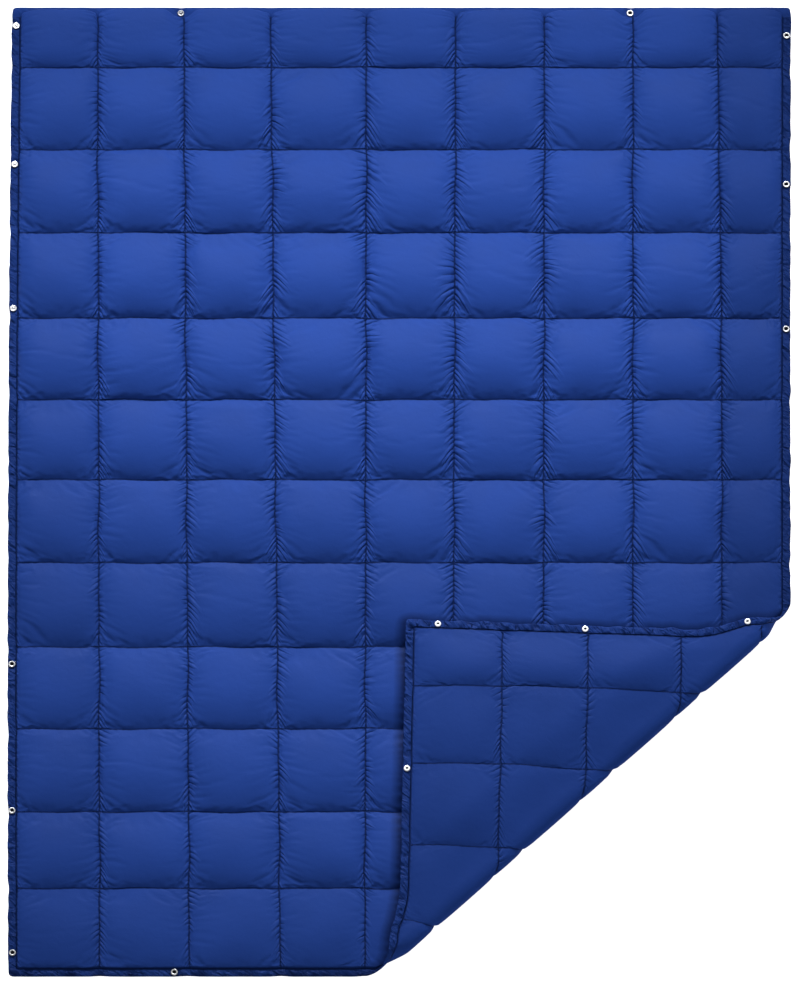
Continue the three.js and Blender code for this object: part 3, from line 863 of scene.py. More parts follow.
def seat_fasteners(grid):
    """Moves the hem's points so that eight of them ring each fastener's hole. Returns, for every
    fastener, the row and column of the grid point in its middle."""
    middles = []
    ring = HOLE_RADIUS / math.sqrt(2)
    for fastener, (seat_across, seat_up) in zip(FASTENERS, seats):
        upright = fastener["side"] in ("left", "right")
        places, seat = (grid["up"], seat_up) if upright else (grid["across"].T, seat_across)
        hem_line = HEM_MIDDLE
        if fastener["side"] in ("right", "foot"):
            hem_line = places.shape[1] - 1 - HEM_MIDDLE
        line = places[:, hem_line]
        at = int(np.abs(line - seat).argmin())
        low, high = sorted((line[at - 1], line[at + 1]))
        ease = max(HOLE_EASE, 1.5 * (high - low))
        known = [line[at] - ease, low, line[at], high, line[at] + ease]
        wanted = [known[0], seat - HOLE_RADIUS, seat, seat + HOLE_RADIUS, known[4]]
        near = np.abs(line - line[at]) < ease
        band = slice(hem_line - HEM_MIDDLE, hem_line + HEM_MIDDLE + 1)
        places[near, band] = np.interp(places[near, band], known, wanted)
        row, column = (at, hem_line) if upright else (hem_line, at)
        for step_row in (-1, 0, 1):
            for step_column in (-1, 0, 1):
                reach = ring if step_row and step_column else HOLE_RADIUS
                point = (row + step_row, column + step_column)
                grid["across"][point] = seat_across + step_column * reach
                grid["up"][point] = seat_up - step_row * reach
        middles.append((row, column))
        away = np.hypot(grid["across"] - seat_across, grid["up"] - seat_up)
        free = smooth_step((away - CLAMP_REACH) / CLAMP_FADE)
        grid["half"] = mix(CLAMPED_HALF, grid["half"], free)
        grid["level"] = grid["level"] * free
    return middles


for grid in (upper, lower):
    grid["middles"] = seat_fasteners(grid)
    grid["points"] = folded(grid["across"], grid["up"], grid["side"], grid["crown"],
                            grid["fullness"], grid["hem"], grid["half"])
    grid["points"][..., 2] += grid["level"]
print("upper cover from", upper["points"].min(axis=(0, 1)).round(4), "to",
      upper["points"].max(axis=(0, 1)).round(4))

# %% [markdown]
# ## One closed mesh
#
# The two grids become one skin. Their borders have different numbers of points, so the edge
# between them is closed like a zip: it steps along whichever side is behind. Round each fastener
# four quads are left out of both covers, and a short tube joins the two holes.

# %% Quilt mesh
def border_sides(grid):
    """The four sides of a grid's border, clockwise from the head's left end."""
    rows, columns = grid["across"].shape
    index = np.arange(rows * columns).reshape(rows, columns)
    return [index[0], index[:, -1], index[-1, ::-1], index[::-1, 0]]


def zipped(first, second, first_places, second_places):
    """Triangles between two lines of points, stepping along whichever is behind."""
    triangles = []
    i = j = 0
    while i < len(first) - 1 or j < len(second) - 1:
        first_next = first_places[i + 1] if i < len(first) - 1 else math.inf
        second_next = second_places[j + 1] if j < len(second) - 1 else math.inf
        if first_next <= second_next:
            triangles.append((first[i], first[i + 1], second[j]))
            i += 1
        else:
            triangles.append((first[i], second[j + 1], second[j]))
            j += 1
    return triangles


def cover_quads(grid):
    """The quads of one cover, facing out, without the four at each fastener's hole."""
    rows, columns = grid["across"].shape
    index = np.arange(rows * columns).reshape(rows, columns)
    corners = [index[:-1, :-1], index[1:, :-1], index[1:, 1:], index[:-1, 1:]]
    quads = np.stack(corners if grid["side"] > 0 else corners[::-1], axis=-1)
    kept = np.ones(quads.shape[:2], bool)
    for row, column in grid["middles"]:
        kept[row - 1:row + 1, column - 1:column + 1] = False
    return quads[kept]


RING_STEPS = [(0, 1), (-1, 1), (-1, 0), (-1, -1), (0, -1), (1, -1), (1, 0), (1, 1)]


def hole_ring(grid, middle):
    """Indices of the eight points round a hole, in turn."""
    columns = grid["across"].shape[1]
    return [(middle[0] + down) * columns + middle[1] + across for down, across in RING_STEPS]


def chord_places(grid, line):
    """How far along its side each border point is, from 0 to 1, on the flat pattern."""
    flat = np.stack([grid["across"].ravel()[line], grid["up"].ravel()[line]], axis=-1)
    steps = np.hypot(*np.diff(flat, axis=0).T)
    return np.concatenate([[0], np.cumsum(steps)]) / steps.sum()


layer = upper["across"].size
faces = cover_quads(upper).tolist() + (cover_quads(lower) + layer).tolist()
for upper_line, lower_line in zip(border_sides(upper), border_sides(lower)):
    faces += zipped(upper_line.tolist(), (lower_line + layer).tolist(),
                    chord_places(upper, upper_line), chord_places(lower, lower_line))
for upper_middle, lower_middle in zip(upper["middles"], lower["middles"]):
    above = hole_ring(upper, upper_middle)
    below = [point + layer for point in hole_ring(lower, lower_middle)]
    for k in range(len(RING_STEPS)):
        after = (k + 1) % len(RING_STEPS)
        faces.append((above[k], above[after], below[after], below[k]))

points = np.concatenate([upper["points"].reshape(-1, 3), lower["points"].reshape(-1, 3)])
used = np.zeros(len(points), bool)
used[np.concatenate([np.array(face) for face in faces])] = True
new_index = np.cumsum(used) - 1
quilt_mesh = bpy.data.meshes.new("blanket_cover")
quilt_mesh.from_pydata(points[used].tolist(), [], [[int(new_index[p]) for p in face] for face in faces])
quilt = bpy.data.objects.new("blanket_cover", quilt_mesh)
bpy.context.scene.collection.objects.link(quilt)
quilt_mesh.shade_smooth()
print("quilt of", len(quilt_mesh.vertices), "points and", len(faces), "faces")

# %% [markdown]
# ## What the cloth's material needs to know
#
# The weave has to follow the cloth round the fold, so the flat pattern itself is the UV map, in
# metres. What else the material reads is kept on each point as an attribute: how far it is from
# the nearest seam and from the painted shadow round the folded corner's edge, which pucker it is on
# and how strong that is, how much painted light each cell gets, how much painted shade darkens the
# hem and the inner side, and how crumpled the hem is.

# %% Values for the material
HEAD_LINE = 0.0009
INNER_SHADE = 0.6
HEM_SHADE_STEEPNESS = 8
HEAD_CRUMPLE = 0.15
PLAIN_CRUMPLE = 0.9
INNER_GATHER = 0.5
OUTER_GATHER = 0.5
GATHER_MIDDLE = {"across": 0.12, "up": 0.38}
GATHER_REACH = {"across": 0.55, "up": 0.75}
# Painted light: factors that paint each row and column lighter or darker, and the bend lighter.
ROW_PAINTED_LIGHT = [0.95, 0.96, 0.99, 1, 0.99, 0.95, 0.92, 0.87, 0.98, 1, 1.01, 0.97]
COLUMN_PAINTED_LIGHT = [0.92, 1, 0.99, 0.98, 0.98, 0.99, 1.02, 1, 0.78]
BEND_PAINTED_LIGHT = 0.35
# Painted shadow: the cloth beside the folded corner's edge is darkened as a seam is; these set its reach
# and the stretch of edge it runs along.
FLAP_SHADOW_SHARE = 0.12
FLAP_SHADOW_PART = {"below": -0.2, "left_of": 0.62}


def seam_and_flap_shadow_distance(grid):
    """The flat distance from each point to the nearest line of stitches, where painted shade darkens
    the seam. The line of the head hem is left out, because there the cloth bulges over it. On the
    upper cover a shortened distance from the folded corner's edge counts too, for a painted shadow."""
    to_rows = np.abs(grid["drawn_up"][..., None] - row_places[2:-1]).min(axis=-1)
    lines = column_places(grid["drawn_up"])[..., 1:-1]
    to_columns = np.abs(grid["drawn_across"][..., None] - lines).min(axis=-1)
    to_seam = np.where(grid["depth"] > 0, grid["depth"] * HEM_WIDTH, np.minimum(to_rows, to_columns))
    to_edge = HEAD_LINE + (1 - grid["depth"]) * HEM_WIDTH
    to_seam = np.where(grid["rows"]["bay"][:, None] == 0, to_edge, to_seam)
    if grid["side"] < 0:
        return to_seam
    return np.minimum(to_seam, FLAP_SHADOW_SHARE * flap_shadow_distance(grid))


def hem_share(grid, at_head):
    """1 on the hem and 0 inside it, but a value of its own on the hem at the head."""
    share = np.clip(grid["depth"] * HEM_SHADE_STEEPNESS, 0, 1)
    return np.where(grid["rows"]["bay"][:, None] == 0, at_head, share)


def hem_shade(grid):
    """How much darker the cloth is painted: 1 on the hem, as painted shade, but 0 at the head,
    where it faces the light, and about a half on the whole inner side."""
    return np.maximum(hem_share(grid, 0), 0 if grid["side"] > 0 else INNER_SHADE)


def painted_light_tone(grid):
    """How light the cloth is painted, cell by cell: painted light, a factor for each row and
    column that makes it lighter or darker. Along the bend the lower cover is painted a little lighter."""
    row = np.clip(grid["rows"]["bay"] - 1, 0, ROW_BAYS - 3)
    column = np.clip(grid["columns"]["bay"] - 1, 0, COLUMN_BAYS - 3)
    turn = np.clip(at_crease(grid["across"], grid["up"])[0] / BEND_RADIUS, 0, math.pi)
    if grid["side"] < 0:
        return 1 + BEND_PAINTED_LIGHT * np.sin(turn)
    return np.array(ROW_PAINTED_LIGHT)[row][:, None] * np.array(COLUMN_PAINTED_LIGHT)[column][None, :]


def flap_shadow_distance(grid):
    """The distance in plan from the folded corner's edge, which rests on the blanket there. It lays a
    painted shadow along that edge.
    """
    outline = np.concatenate([lower["points"][::4, -1, :2], lower["points"][-1, ::4, :2]])
    outline = outline[(outline[:, 1] < FLAP_SHADOW_PART["below"])
                      & (outline[:, 0] < FLAP_SHADOW_PART["left_of"])]
    flat = grid["points"][..., :2].reshape(-1, 2)
    distance = np.full(len(flat), 1.0)
    for point in outline:
        distance = np.minimum(distance, np.hypot(*(flat - point).T))
    return distance.reshape(grid["across"].shape)


def hem_crumple(grid):
    """How crumpled the cloth is: most on the hem of the folded corner's long edge."""
    right = (grid["columns"]["bay"] == COLUMN_BAYS - 1)[None, :]
    in_hem = np.where(grid["depth"] > 0, hem_share(grid, HEAD_CRUMPLE), 0)
    return in_hem * mix(PLAIN_CRUMPLE, 1, on_flap(grid) * right)


def gathered(grid):
    """How strongly the seams are gathered: most in the upper middle of the blanket, and less on
    its inner side, which shows on the folded corner."""
    if grid["side"] < 0:
        return INNER_GATHER * grid["puckers"]["strength"]
    off = sum(((grid[way] - GATHER_MIDDLE[way]) / GATHER_REACH[way]) ** 2 for way in ("across", "up"))
    return mix(OUTER_GATHER, 1, np.exp(-off)) * grid["puckers"]["strength"]


flat_pattern = np.concatenate([np.stack([grid["across"], grid["up"]], axis=-1).reshape(-1, 2)
                               for grid in (upper, lower)])[used]
uv_layer = quilt_mesh.uv_layers.new(name="pattern")
corner_points = np.zeros(len(quilt_mesh.loops), np.int32)
quilt_mesh.loops.foreach_get("vertex_index", corner_points)
uv_layer.data.foreach_set("uv", flat_pattern[corner_points].astype(np.float32).ravel())
point_values = {"seam_and_flap_shadow_distance": seam_and_flap_shadow_distance, "gathered": gathered, "painted_light_tone": painted_light_tone,
                "hem_shade": hem_shade, "hem_crumple": hem_crumple,
                "pucker_away": lambda grid: grid["puckers"]["away"],
                "pucker_foot": lambda grid: grid["puckers"]["foot"],
                "pucker_seed": lambda grid: grid["puckers"]["seed"]}
for name, value_of in point_values.items():
    kept = quilt_mesh.attributes.new(name, "FLOAT", "POINT")
    joined = np.concatenate([value_of(grid).ravel() for grid in (upper, lower)])[used]
    kept.data.foreach_set("value", joined.astype(np.float32))
print("pattern map and", len(point_values), "values on every point")

# %% [markdown]
# ## Stitches
#
# Every seam is a line of lock stitches. One stitch is modelled, a spindle of thread, and copied
# along all the seams that show: on the upper cover up to the fold, and on the lower cover past it.
# Each copy is turned to the line between the cloth's places just before and just after it.

# %% Stitch lines
STITCH_PITCH = 0.0034
STITCH_LENGTH = 0.0027
STITCH_WIDTH = 0.00055
STITCH_LIFT = 0.00005


def stitch_line(across, up, on_hem):
    """Flat places of stitches along one line, from its points given as arrays."""
    steps = np.hypot(np.diff(across), np.diff(up))
    travelled = np.concatenate([[0], np.cumsum(steps)])
    at = np.arange(STITCH_PITCH / 2, travelled[-1], STITCH_PITCH)
    ends = [np.stack([np.interp(at + way * STITCH_LENGTH / 2, travelled, across),
                      np.interp(at + way * STITCH_LENGTH / 2, travelled, up)]) for way in (-1, 1)]
    return ends[0], ends[1], np.full(len(at), float(on_hem))


lines = []
up_points = np.linspace(row_places[1], row_places[-2], 300)
for column in range(1, COLUMN_BAYS):
    lines.append(stitch_line(column_places(up_points)[:, column], up_points,
                             column in (1, COLUMN_BAYS - 1)))
for row in range(1, ROW_BAYS):
    ends = column_places(row_places[row])[[1, -2]]
    across_points = np.linspace(ends[0], ends[1], 200)
    lines.append(stitch_line(across_points, np.full(200, row_places[row]), row in (1, ROW_BAYS - 1)))
start, end, on_hem = (np.concatenate(parts, axis=-1) for parts in zip(*lines))

bpy.ops.object.select_all(action="DESELECT")
bpy.ops.mesh.primitive_uv_sphere_add(segments=5, ring_count=2, radius=0.5)
one = bpy.context.active_object
spindle = np.array([vertex.co for vertex in one.data.vertices])
spindle = spindle[:, [2, 0, 1]] * (STITCH_LENGTH, STITCH_WIDTH, STITCH_WIDTH)
spindle_faces = [list(face.vertices) for face in one.data.polygons]
bpy.data.objects.remove(one)

stitch_points, stitch_faces = [], []
for side in (1, -1):
    past = at_crease(*((start + end) / 2))[0]
    shown = past < BEND_LENGTH / 2 if side > 0 else past > BEND_LENGTH / 3
    half = np.where(on_hem > 0, HEM_STITCH_HALF, SEWN_HALF)
    placed = [folded(point[0][shown], point[1][shown], side, np.zeros(shown.sum()), 1,
                     on_hem[shown], half[shown] + STITCH_LIFT) for point in (start, end)]
    middle = (placed[0] + placed[1]) / 2
    lengthwise = placed[1] - placed[0]
    lengthwise /= np.linalg.norm(lengthwise, axis=1, keepdims=True)
    sideways = np.cross(lengthwise, (0, 0, 1))
    sideways /= np.linalg.norm(sideways, axis=1, keepdims=True)
    upwards = np.cross(sideways, lengthwise)
    turned = np.stack([lengthwise, sideways, upwards], axis=1)
    placed_spindles = middle[:, None, :] + np.einsum("vk,skx->svx", spindle, turned)
    first = len(stitch_points) * len(spindle)
    for k in range(len(middle)):
        stitch_faces += [[first + k * len(spindle) + v for v in face] for face in spindle_faces]
    stitch_points += list(placed_spindles)
stitch_mesh = bpy.data.meshes.new("stitches")
stitch_mesh.from_pydata(np.concatenate(stitch_points).tolist(), [], stitch_faces)
stitches = bpy.data.objects.new("stitches", stitch_mesh)
bpy.context.scene.collection.objects.link(stitches)
print(len(stitch_points), "stitches of", len(spindle_faces), "faces each")

# %% [markdown]
# ## Press fasteners
#
# Each fastener is turned metal: a barrel through the hem, a ring on the upper side and a cap
# below. It is modelled once for each kind, from a cylinder whose ends are extruded and scaled as
# on a lathe, and every fastener is then a copy with its own mesh.

# %% Fastener sizes
BARREL_RADIUS = 0.0024
FASTENER_SIDES = 40
FASTENER_GAP = 0.0003
RING_RADIUS = 0.0058
RING_TOP_RADIUS = 0.0052
RING_THICKNESS = 0.0014
SOCKET_RADIUS = 0.0030
SOCKET_DEPTH = 0.0022
STUD_RADIUS = 0.0021
STUD_HEIGHT = 0.0016
CAP_RADIUS = 0.0055
CAP_FACE_RADIUS = 0.0050
CAP_THICKNESS = 0.00115
CAP_DOT_RADIUS = 0.0018
CAP_DOT_DEPTH = 0.0004
END_LEVEL = HEM_HALF + FASTENER_GAP


def turn_end(steps):
    """Extrudes the selected end face through steps of (radius, level), scaling it each time."""
    radius, level = BARREL_RADIUS, steps[0][1]
    for new_radius, new_level in steps:
        bpy.ops.mesh.extrude_region_move(TRANSFORM_OT_translate={"value": (0, 0, new_level - level)})
        bpy.ops.transform.resize(value=(new_radius / radius, new_radius / radius, 1),
                                 center_override=(0, 0, new_level))
        radius, level = new_radius, new_level


def select_end(piece, way):
    """Selects the one end face that looks up (1) or down (-1)."""
    bpy.ops.object.mode_set(mode="OBJECT")
    for part in (piece.data.vertices, piece.data.edges, piece.data.polygons):
        for item in part:
            item.select = False
    ends = [face for face in piece.data.polygons if face.normal.z * way > 0.9]
    max(ends, key=lambda face: face.center.z * way).select = True
    bpy.ops.object.mode_set(mode="EDIT")
    bpy.ops.mesh.select_mode(type="FACE")


def model_fastener(kind):
    bpy.ops.object.select_all(action="DESELECT")
    bpy.ops.mesh.primitive_cylinder_add(vertices=FASTENER_SIDES, radius=BARREL_RADIUS,
                                        depth=2 * END_LEVEL, location=(0, 0, 0))
    piece = bpy.context.active_object
    piece.name = "fastener_" + kind
    top = END_LEVEL + RING_THICKNESS
    ring = [(RING_RADIUS, END_LEVEL), (RING_RADIUS, top - 0.0006), (RING_TOP_RADIUS, top),
            (SOCKET_RADIUS * 1.15, top), (SOCKET_RADIUS, top - 0.0003)]
    if kind == "socket":
        centre = [(SOCKET_RADIUS * 0.98, top - RING_THICKNESS), (BARREL_RADIUS * 0.9, top - RING_THICKNESS),
                  (BARREL_RADIUS * 0.85, top - SOCKET_DEPTH), (BARREL_RADIUS * 0.3, top - SOCKET_DEPTH)]
    else:
        centre = [(STUD_RADIUS, top - RING_THICKNESS / 2), (STUD_RADIUS * 0.85, top + STUD_HEIGHT * 0.4),
                  (STUD_RADIUS, top + STUD_HEIGHT * 0.7), (STUD_RADIUS * 0.7, top + STUD_HEIGHT),
                  (STUD_RADIUS * 0.3, top + STUD_HEIGHT)]
    select_end(piece, 1)
    turn_end(ring + centre)
    select_end(piece, -1)
    low = -END_LEVEL - CAP_THICKNESS
    turn_end([(CAP_RADIUS, -END_LEVEL), (CAP_RADIUS, -END_LEVEL - CAP_THICKNESS * 0.35),
              (CAP_FACE_RADIUS, low), (CAP_DOT_RADIUS * 1.4, low), (CAP_DOT_RADIUS, low + 0.0001),
              (CAP_DOT_RADIUS * 0.8, low + CAP_DOT_DEPTH)])
    bpy.ops.mesh.select_all(action="SELECT")
    bpy.ops.mesh.normals_make_consistent(inside=False)
    bpy.ops.object.mode_set(mode="OBJECT")
    bevel = piece.modifiers.new("rounded", "BEVEL")
    bevel.width = 0.00018
    bevel.segments = 2
    bevel.limit_method = "ANGLE"
    bevel.angle_limit = math.radians(35)
    bpy.ops.object.modifier_apply(modifier="rounded")
    return piece


models = {kind: model_fastener(kind) for kind in ("socket", "stud")}
print("fastener models of", {kind: len(piece.data.polygons) for kind, piece in models.items()}, "faces")

# %% [markdown]
# ## Setting the fasteners
#
# Each copy goes to its place in the frame. Past the fold the cloth lies upside down, and so does
# the fastener: its cap shows there in place of its ring. Two attributes go along for the metal,
# one for the painted shade in the depth of the socket or of the cap's dot, and one for how dull the
# metal is.

# %% Set the fasteners
def recess_share(co, kind):
    """How deep in the socket or in the cap's dot a point is, from 0 to 1, which sets its painted shade."""
    radius = math.hypot(co.x, co.y)
    if kind == "socket" and co.z > 0 and radius < SOCKET_RADIUS * 1.02:
        return min(1, max(0, END_LEVEL + RING_THICKNESS - 0.0002 - co.z) / (SOCKET_DEPTH * 0.1))
    if co.z < 0 and radius < CAP_DOT_RADIUS * 1.05 and co.z > -END_LEVEL - CAP_THICKNESS + 0.00005:
        return 1
    return 0


snaps = []
for fastener, (seat_across, seat_up) in zip(FASTENERS, seats):
    low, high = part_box(fastener["name"])
    turned = at_crease(seat_across, seat_up)[0] > BEND_LENGTH / 2
    mesh = models[fastener["kind"]].data.copy()
    recess_shade = mesh.attributes.new("recess_shade", "FLOAT", "POINT")
    for vertex, value in zip(mesh.vertices, recess_shade.data):
        value.value = recess_share(vertex.co, fastener["kind"])
    dull = mesh.attributes.new("dull", "FLOAT", "POINT")
    dull.data.foreach_set("value", [fastener.get("dull", 0)] * len(mesh.vertices))
    level = high.z - END_LEVEL - CAP_THICKNESS if turned else low.z + END_LEVEL + CAP_THICKNESS
    way = -1 if turned else 1
    for vertex in mesh.vertices:
        x, y, z = vertex.co
        vertex.co = ((low.x + high.x) / 2 + x, (low.y + high.y) / 2 + way * y, level + way * z)
    mesh.shade_smooth()
    mesh.update()
    snap = bpy.data.objects.new(fastener["name"] + "_metal", mesh)
    bpy.context.scene.collection.objects.link(snap)
    bpy.ops.object.select_all(action="DESELECT")
    snap.select_set(True)
    bpy.context.view_layer.objects.active = snap
    bpy.ops.object.shade_smooth_by_angle(angle=math.radians(40))
    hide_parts(fastener["name"])
    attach(snap, "root")
    snaps.append(snap)
for piece in models.values():
    bpy.data.objects.remove(piece)
print(len(snaps), "fasteners set")

# %% [markdown]
# ## Nodes by the handful
#
# A material is a tree of nodes, and nearly every line of such a script would add a node, set a
# value or draw a link. A few helpers do that here. Each one adds a node, gives every named socket
# a value or a link, and hands back the output that the next node reads, so that the lines below
# read like the arithmetic that they stand for.

# %% Node helpers
def connect(socket, value):
    """Links a socket to another node's output, or sets it to a plain value."""
    if isinstance(value, bpy.types.NodeSocket):
        socket.id_data.links.new(value, socket)
    else:
        socket.default_value = value


def add_node(tree, kind, sockets, **settings):
    node = tree.nodes.new("ShaderNode" + kind)
    for name, value in settings.items():
        setattr(node, name, value)
    for label, value in sockets.items():
        connect(node.inputs[label], value)
    return node


def attribute(tree, name):
    return add_node(tree, "Attribute", {}, attribute_name=name).outputs["Fac"]


def worked_out(tree, operation, *values):
    """One step of arithmetic on outputs and numbers."""
    return add_node(tree, "Math", dict(enumerate(values)), operation=operation).outputs["Value"]


def rescaled(tree, value, given, wanted=(0, 1), **settings):
    """Maps the given range of a value to the wanted one, and keeps it inside."""
    sockets = {"Value": value, "From Min": given[0], "From Max": given[1],
               "To Min": wanted[0], "To Max": wanted[1]}
    return add_node(tree, "MapRange", sockets, **settings).outputs["Result"]


def noise(tree, vector, scale, detail, roughness=0.5, distortion=0):
    sockets = {"Vector": vector, "Scale": scale, "Detail": detail, "Roughness": roughness,
               "Distortion": distortion}
    return add_node(tree, "TexNoise", sockets).outputs["Fac"]


def mixed(tree, share, first, second, blend="MIX"):
    """Mixes two colours."""
    sockets = {"Factor": share, "A": first, "B": second}
    return add_node(tree, "Mix", sockets, data_type="RGBA", blend_type=blend).outputs["Result"]


def raised(tree, height, distance, strength, below=None):
    """Relief on top of the relief below it, as a normal."""
    bump = add_node(tree, "Bump", {"Height": height, "Distance": distance, "Strength": strength})
    if below is not None:
        connect(bump.inputs["Normal"], below)
    return bump.outputs["Normal"]


def new_material(name):
    material = bpy.data.materials.new(name)
    material.use_nodes = True
    return material, material.node_tree, material.node_tree.nodes["Principled BSDF"].inputs


print("node helpers ready")

# %% [markdown]
# ## Slow changes of tone
#
# No real surface has one colour all over: cloth takes its dye a little unevenly, and plated metal
# is rubbed here and there. One node group makes such slow changes. Cloth, thread and metal each
# place it with their own scale and their own two colours.

# %% Shared tone group
TONE_GIVEN = (0.32, 0.68)

tone_group = bpy.data.node_groups.new("slow_tone", "ShaderNodeTree")
for label, kind, value in (("Vector", "NodeSocketVector", (0, 0, 0)),
                           ("Scale", "NodeSocketFloat", 6),
                           ("Dark", "NodeSocketColor", (0.4, 0.4, 0.4, 1)),
                           ("Light", "NodeSocketColor", (0.6, 0.6, 0.6, 1))):
    tone_group.interface.new_socket(label, in_out="INPUT", socket_type=kind).default_value = value
for label, kind in (("Color", "NodeSocketColor"), ("Share", "NodeSocketFloat")):
    tone_group.interface.new_socket(label, in_out="OUTPUT", socket_type=kind)
given = tone_group.nodes.new("NodeGroupInput").outputs
result = tone_group.nodes.new("NodeGroupOutput").inputs
share = rescaled(tone_group, noise(tone_group, given["Vector"], given["Scale"], 4), TONE_GIVEN)
connect(result["Color"], mixed(tone_group, share, given["Dark"], given["Light"]))
connect(result["Share"], share)


def slow_tone(tree, vector, scale, dark, light):
    sockets = {"Vector": vector, "Scale": scale, "Dark": dark, "Light": light}
    return add_node(tree, "Group", sockets, node_tree=tone_group).outputs


print("tone group of", len(tone_group.nodes), "nodes")

# %% [markdown]
# ## Taffeta, its colour
#
# The cover is a tight plain-weave taffeta in a deep blue. Its sheen is soft and a little satin,
# and blue too, so that a highlight never turns grey. The turned hem has four layers and a hundred
# small folds, and it is painted darker, as painted shade. Each cell is painted lighter or darker,
# as painted light.

# %% Taffeta's colour
COVER_DARK = (0.0150, 0.0460, 0.235, 1)
COVER_LIGHT = (0.0170, 0.0520, 0.265, 1)
HEM_PAINTED_SHADE = (0.66, 0.66, 0.66, 1)

taffeta, cloth, on_cloth = new_material("taffeta")
pattern = add_node(cloth, "UVMap", {}, uv_map="pattern").outputs["UV"]
tone = slow_tone(cloth, pattern, 9, COVER_DARK, COVER_LIGHT)
# Painted light: each cell's colour is scaled lighter or darker, and the bend is made lighter.
with_painted_light = add_node(cloth, "VectorMath", {0: tone["Color"], "Scale": attribute(cloth, "painted_light_tone")},
                 operation="SCALE").outputs["Vector"]
# Painted shade on the hem, and a darker colour on the whole inner side.
dyed = mixed(cloth, attribute(cloth, "hem_shade"), with_painted_light, HEM_PAINTED_SHADE, "MULTIPLY")
connect(on_cloth["Roughness"], rescaled(cloth, tone["Share"], (0, 1), (0.40, 0.50)))
for label, value in (("Specular IOR Level", 0.045), ("Specular Tint", (0.15, 0.32, 1, 1)),
                     ("Sheen Weight", 0.02), ("Sheen Roughness", 0.4),
                     ("Sheen Tint", (0.2, 0.4, 1, 1))):
    on_cloth[label].default_value = value
print("taffeta from", COVER_DARK[:3], "to", COVER_LIGHT[:3])

# %% [markdown]
# ## Taffeta, its weave and crumple
#
# Threads less than half a millimetre apart can't be built, so they are relief in the material:
# two sine waves over the flat pattern, one each way. On top of them comes the faint crumple of a
# coated cloth, which a noise of a few levels gives.

# %% Weave and crumple
THREAD_PITCH = 0.00042

apart = add_node(cloth, "SeparateXYZ", {"Vector": pattern}).outputs
threads = [worked_out(cloth, "SINE", worked_out(cloth, "MULTIPLY", apart[axis], math.pi / THREAD_PITCH))
           for axis in ("X", "Y")]
woven = raised(cloth, worked_out(cloth, "MULTIPLY", *threads), 0.00003, 0.25)
crumpled = raised(cloth, noise(cloth, pattern, 95, 5, 0.6, 0.8), 0.0012, 0.28, woven)
print("threads every", THREAD_PITCH * 1000, "mm")

# %% [markdown]
# ## Taffeta, its puckers
#
# Beside a gathered seam the spare cloth stands up in small sharp folds. Each fold starts at a
# point on the seam, runs out in a straight line and dies away. The attributes say for every point
# which line it is on, so a sine wave along the seam makes the folds, and two noises, read at the
# fold's foot, give each one its own width and reach. The valleys between them are also darker,
# because little light falls in.

# %% Puckers
PUCKER_PITCH = 0.0105
PUCKER_REACH = 0.052
PUCKER_HEIGHT = 0.0034
PUCKER_DRIFT = 0.026
PUCKER_WOBBLE = 0.005
PUCKER_SHARPNESS = 0.55
PUCKER_SHADE = 0.65
VALLEY_WIDTH = 0.32

foot = attribute(cloth, "pucker_foot")
on_seam = add_node(cloth, "CombineXYZ", {"X": foot, "Y": attribute(cloth, "pucker_seed")}).outputs["Vector"]
drifted = worked_out(cloth, "MULTIPLY_ADD", noise(cloth, on_seam, 25, 1), PUCKER_DRIFT, foot)
wobbled = worked_out(cloth, "MULTIPLY_ADD", noise(cloth, pattern, 40, 2), PUCKER_WOBBLE, drifted)
swing = worked_out(cloth, "SINE", worked_out(cloth, "MULTIPLY", wobbled, math.pi / PUCKER_PITCH))
fold = worked_out(cloth, "ABSOLUTE", swing)
reach = rescaled(cloth, noise(cloth, on_seam, 28, 3, 0.65), (0.36, 0.66), (0.14, 1))
own_share = worked_out(cloth, "MULTIPLY", reach, attribute(cloth, "gathered"))
own_reach = worked_out(cloth, "MULTIPLY", own_share, PUCKER_REACH)
faded = worked_out(cloth, "DIVIDE", attribute(cloth, "pucker_away"), own_reach)
left_over = rescaled(cloth, faded, (0, 1), (1, 0), interpolation_type="SMOOTHSTEP")
height = worked_out(cloth, "MULTIPLY", worked_out(cloth, "POWER", fold, PUCKER_SHARPNESS), left_over)
height = worked_out(cloth, "MULTIPLY", height, worked_out(cloth, "MULTIPLY_ADD", own_share, 0.75, 0.25))
puckered = raised(cloth, height, PUCKER_HEIGHT, 1, crumpled)
valley = rescaled(cloth, fold, (VALLEY_WIDTH, 0), (0, PUCKER_SHADE))
pucker_shade = worked_out(cloth, "MULTIPLY", valley, left_over)
print("puckers about", PUCKER_PITCH * 1000, "mm apart")

# %% [markdown]
# ## Taffeta, its hem, and all of it together
#
# The hem's stitching crumples it into short slanting folds. They are one more noise, turned and
# drawn out by a Mapping node, which has to be of the Texture type for the turn to come before the
# stretch. At the end the darkest of three painted shades wins: the shade on the line of the seam,
# which also lays a painted shadow round the folded corner's edge, the shade in the valley of a
# pucker, or the shade in the valley of a hem fold.

# %% Hem folds and seams
SEAM_SHADE = (0.0050, 0.0145, 0.080, 1)
SEAM_SHADE_WIDTH = (0.0005, 0.0023)
HEM_FOLD_SLANT = math.radians(50)
HEM_FOLD_STRETCH = 2.6
HEM_FOLD_HEIGHT = 0.009
HEM_VALLEY_SHADE = 0.75

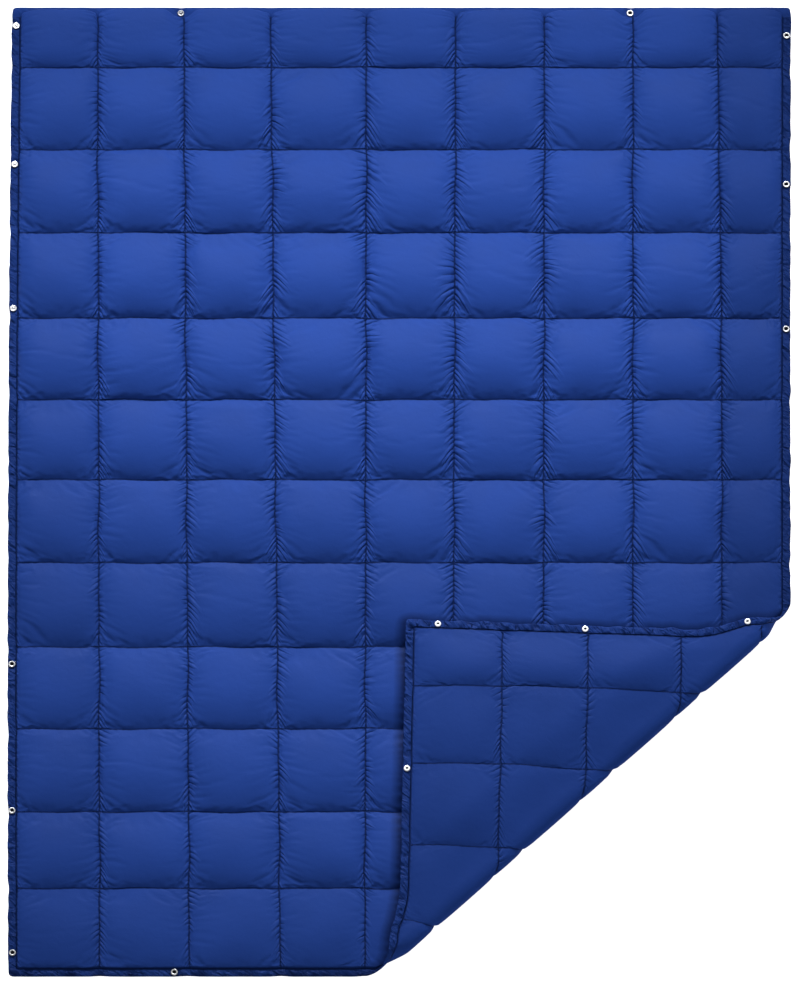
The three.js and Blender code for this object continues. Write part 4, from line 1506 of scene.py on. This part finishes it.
askew = add_node(cloth, "Mapping", {"Vector": pattern, "Rotation": (0, 0, HEM_FOLD_SLANT),
                                    "Scale": (1, HEM_FOLD_STRETCH, 1)}, vector_type="TEXTURE")
hem_folds = noise(cloth, askew.outputs["Vector"], 95, 2, distortion=0.8)
how_crumpled = attribute(cloth, "hem_crumple")
folded_hem = raised(cloth, worked_out(cloth, "MULTIPLY", hem_folds, how_crumpled), HEM_FOLD_HEIGHT, 1,
                    puckered)
connect(on_cloth["Normal"], folded_hem)
# Painted shade along the seams, and a painted shadow round the folded corner's edge.
seam_shade_share = rescaled(cloth, attribute(cloth, "seam_and_flap_shadow_distance"), SEAM_SHADE_WIDTH, (1, 0))
hem_valley = rescaled(cloth, hem_folds, (0.50, 0.34), (0, HEM_VALLEY_SHADE))
darkest = worked_out(cloth, "MAXIMUM", worked_out(cloth, "MAXIMUM", seam_shade_share, pucker_shade),
                     worked_out(cloth, "MULTIPLY", hem_valley, how_crumpled))
connect(on_cloth["Base Color"], mixed(cloth, darkest, dyed, SEAM_SHADE))
quilt_mesh.materials.append(taffeta)
print("taffeta of", len(cloth.nodes), "nodes")

# %% [markdown]
# ## Thread
#
# The stitches are dull twisted thread, darker than the cloth, so that they sink into the seam.

# %% Thread
THREAD_DARK = (0.006, 0.017, 0.090, 1)
THREAD_LIGHT = (0.011, 0.032, 0.165, 1)

thread, spun, on_thread = new_material("thread")
place = add_node(spun, "TexCoord", {}).outputs["Object"]
connect(on_thread["Base Color"], slow_tone(spun, place, 400, THREAD_DARK, THREAD_LIGHT)["Color"])
on_thread["Roughness"].default_value = 0.6
on_thread["Specular IOR Level"].default_value = 0.1
stitch_mesh.materials.append(thread)
print("thread on", len(stitch_points), "stitches")

# %% [markdown]
# ## Nickel plate
#
# Press fasteners are mostly stamped from brass and plated with nickel. Here some are bright and
# some have gone dull, as each one's own attribute says, and the depth of a socket and the cap's
# dot are painted nearly black, as painted shade.

# %% Nickel plate
NICKEL_DARK = (0.80, 0.81, 0.83, 1)
NICKEL_LIGHT = (0.93, 0.94, 0.95, 1)
TARNISH = (0.20, 0.21, 0.24, 1)
RECESS_PAINTED_SHADE = (0.012, 0.012, 0.014, 1)

nickel, plate, on_plate = new_material("nickel")
place = add_node(plate, "TexCoord", {}).outputs["Object"]
tone = slow_tone(plate, place, 900, NICKEL_DARK, NICKEL_LIGHT)
tarnished = mixed(plate, attribute(plate, "dull"), tone["Color"], TARNISH)
# Painted shade: the depth of a socket and the cap's dot are painted nearly black.
connect(on_plate["Base Color"], mixed(plate, attribute(plate, "recess_shade"), tarnished, RECESS_PAINTED_SHADE))
connect(on_plate["Roughness"], rescaled(plate, tone["Share"], (0, 1), (0.22, 0.36)))
on_plate["Metallic"].default_value = 1
for snap in snaps:
    snap.data.materials.append(nickel)
print("nickel on", len(snaps), "fasteners")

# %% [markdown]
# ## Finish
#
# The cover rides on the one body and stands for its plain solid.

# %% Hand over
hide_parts("blanket_quilt")
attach(quilt, "root")
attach(stitches, "root")
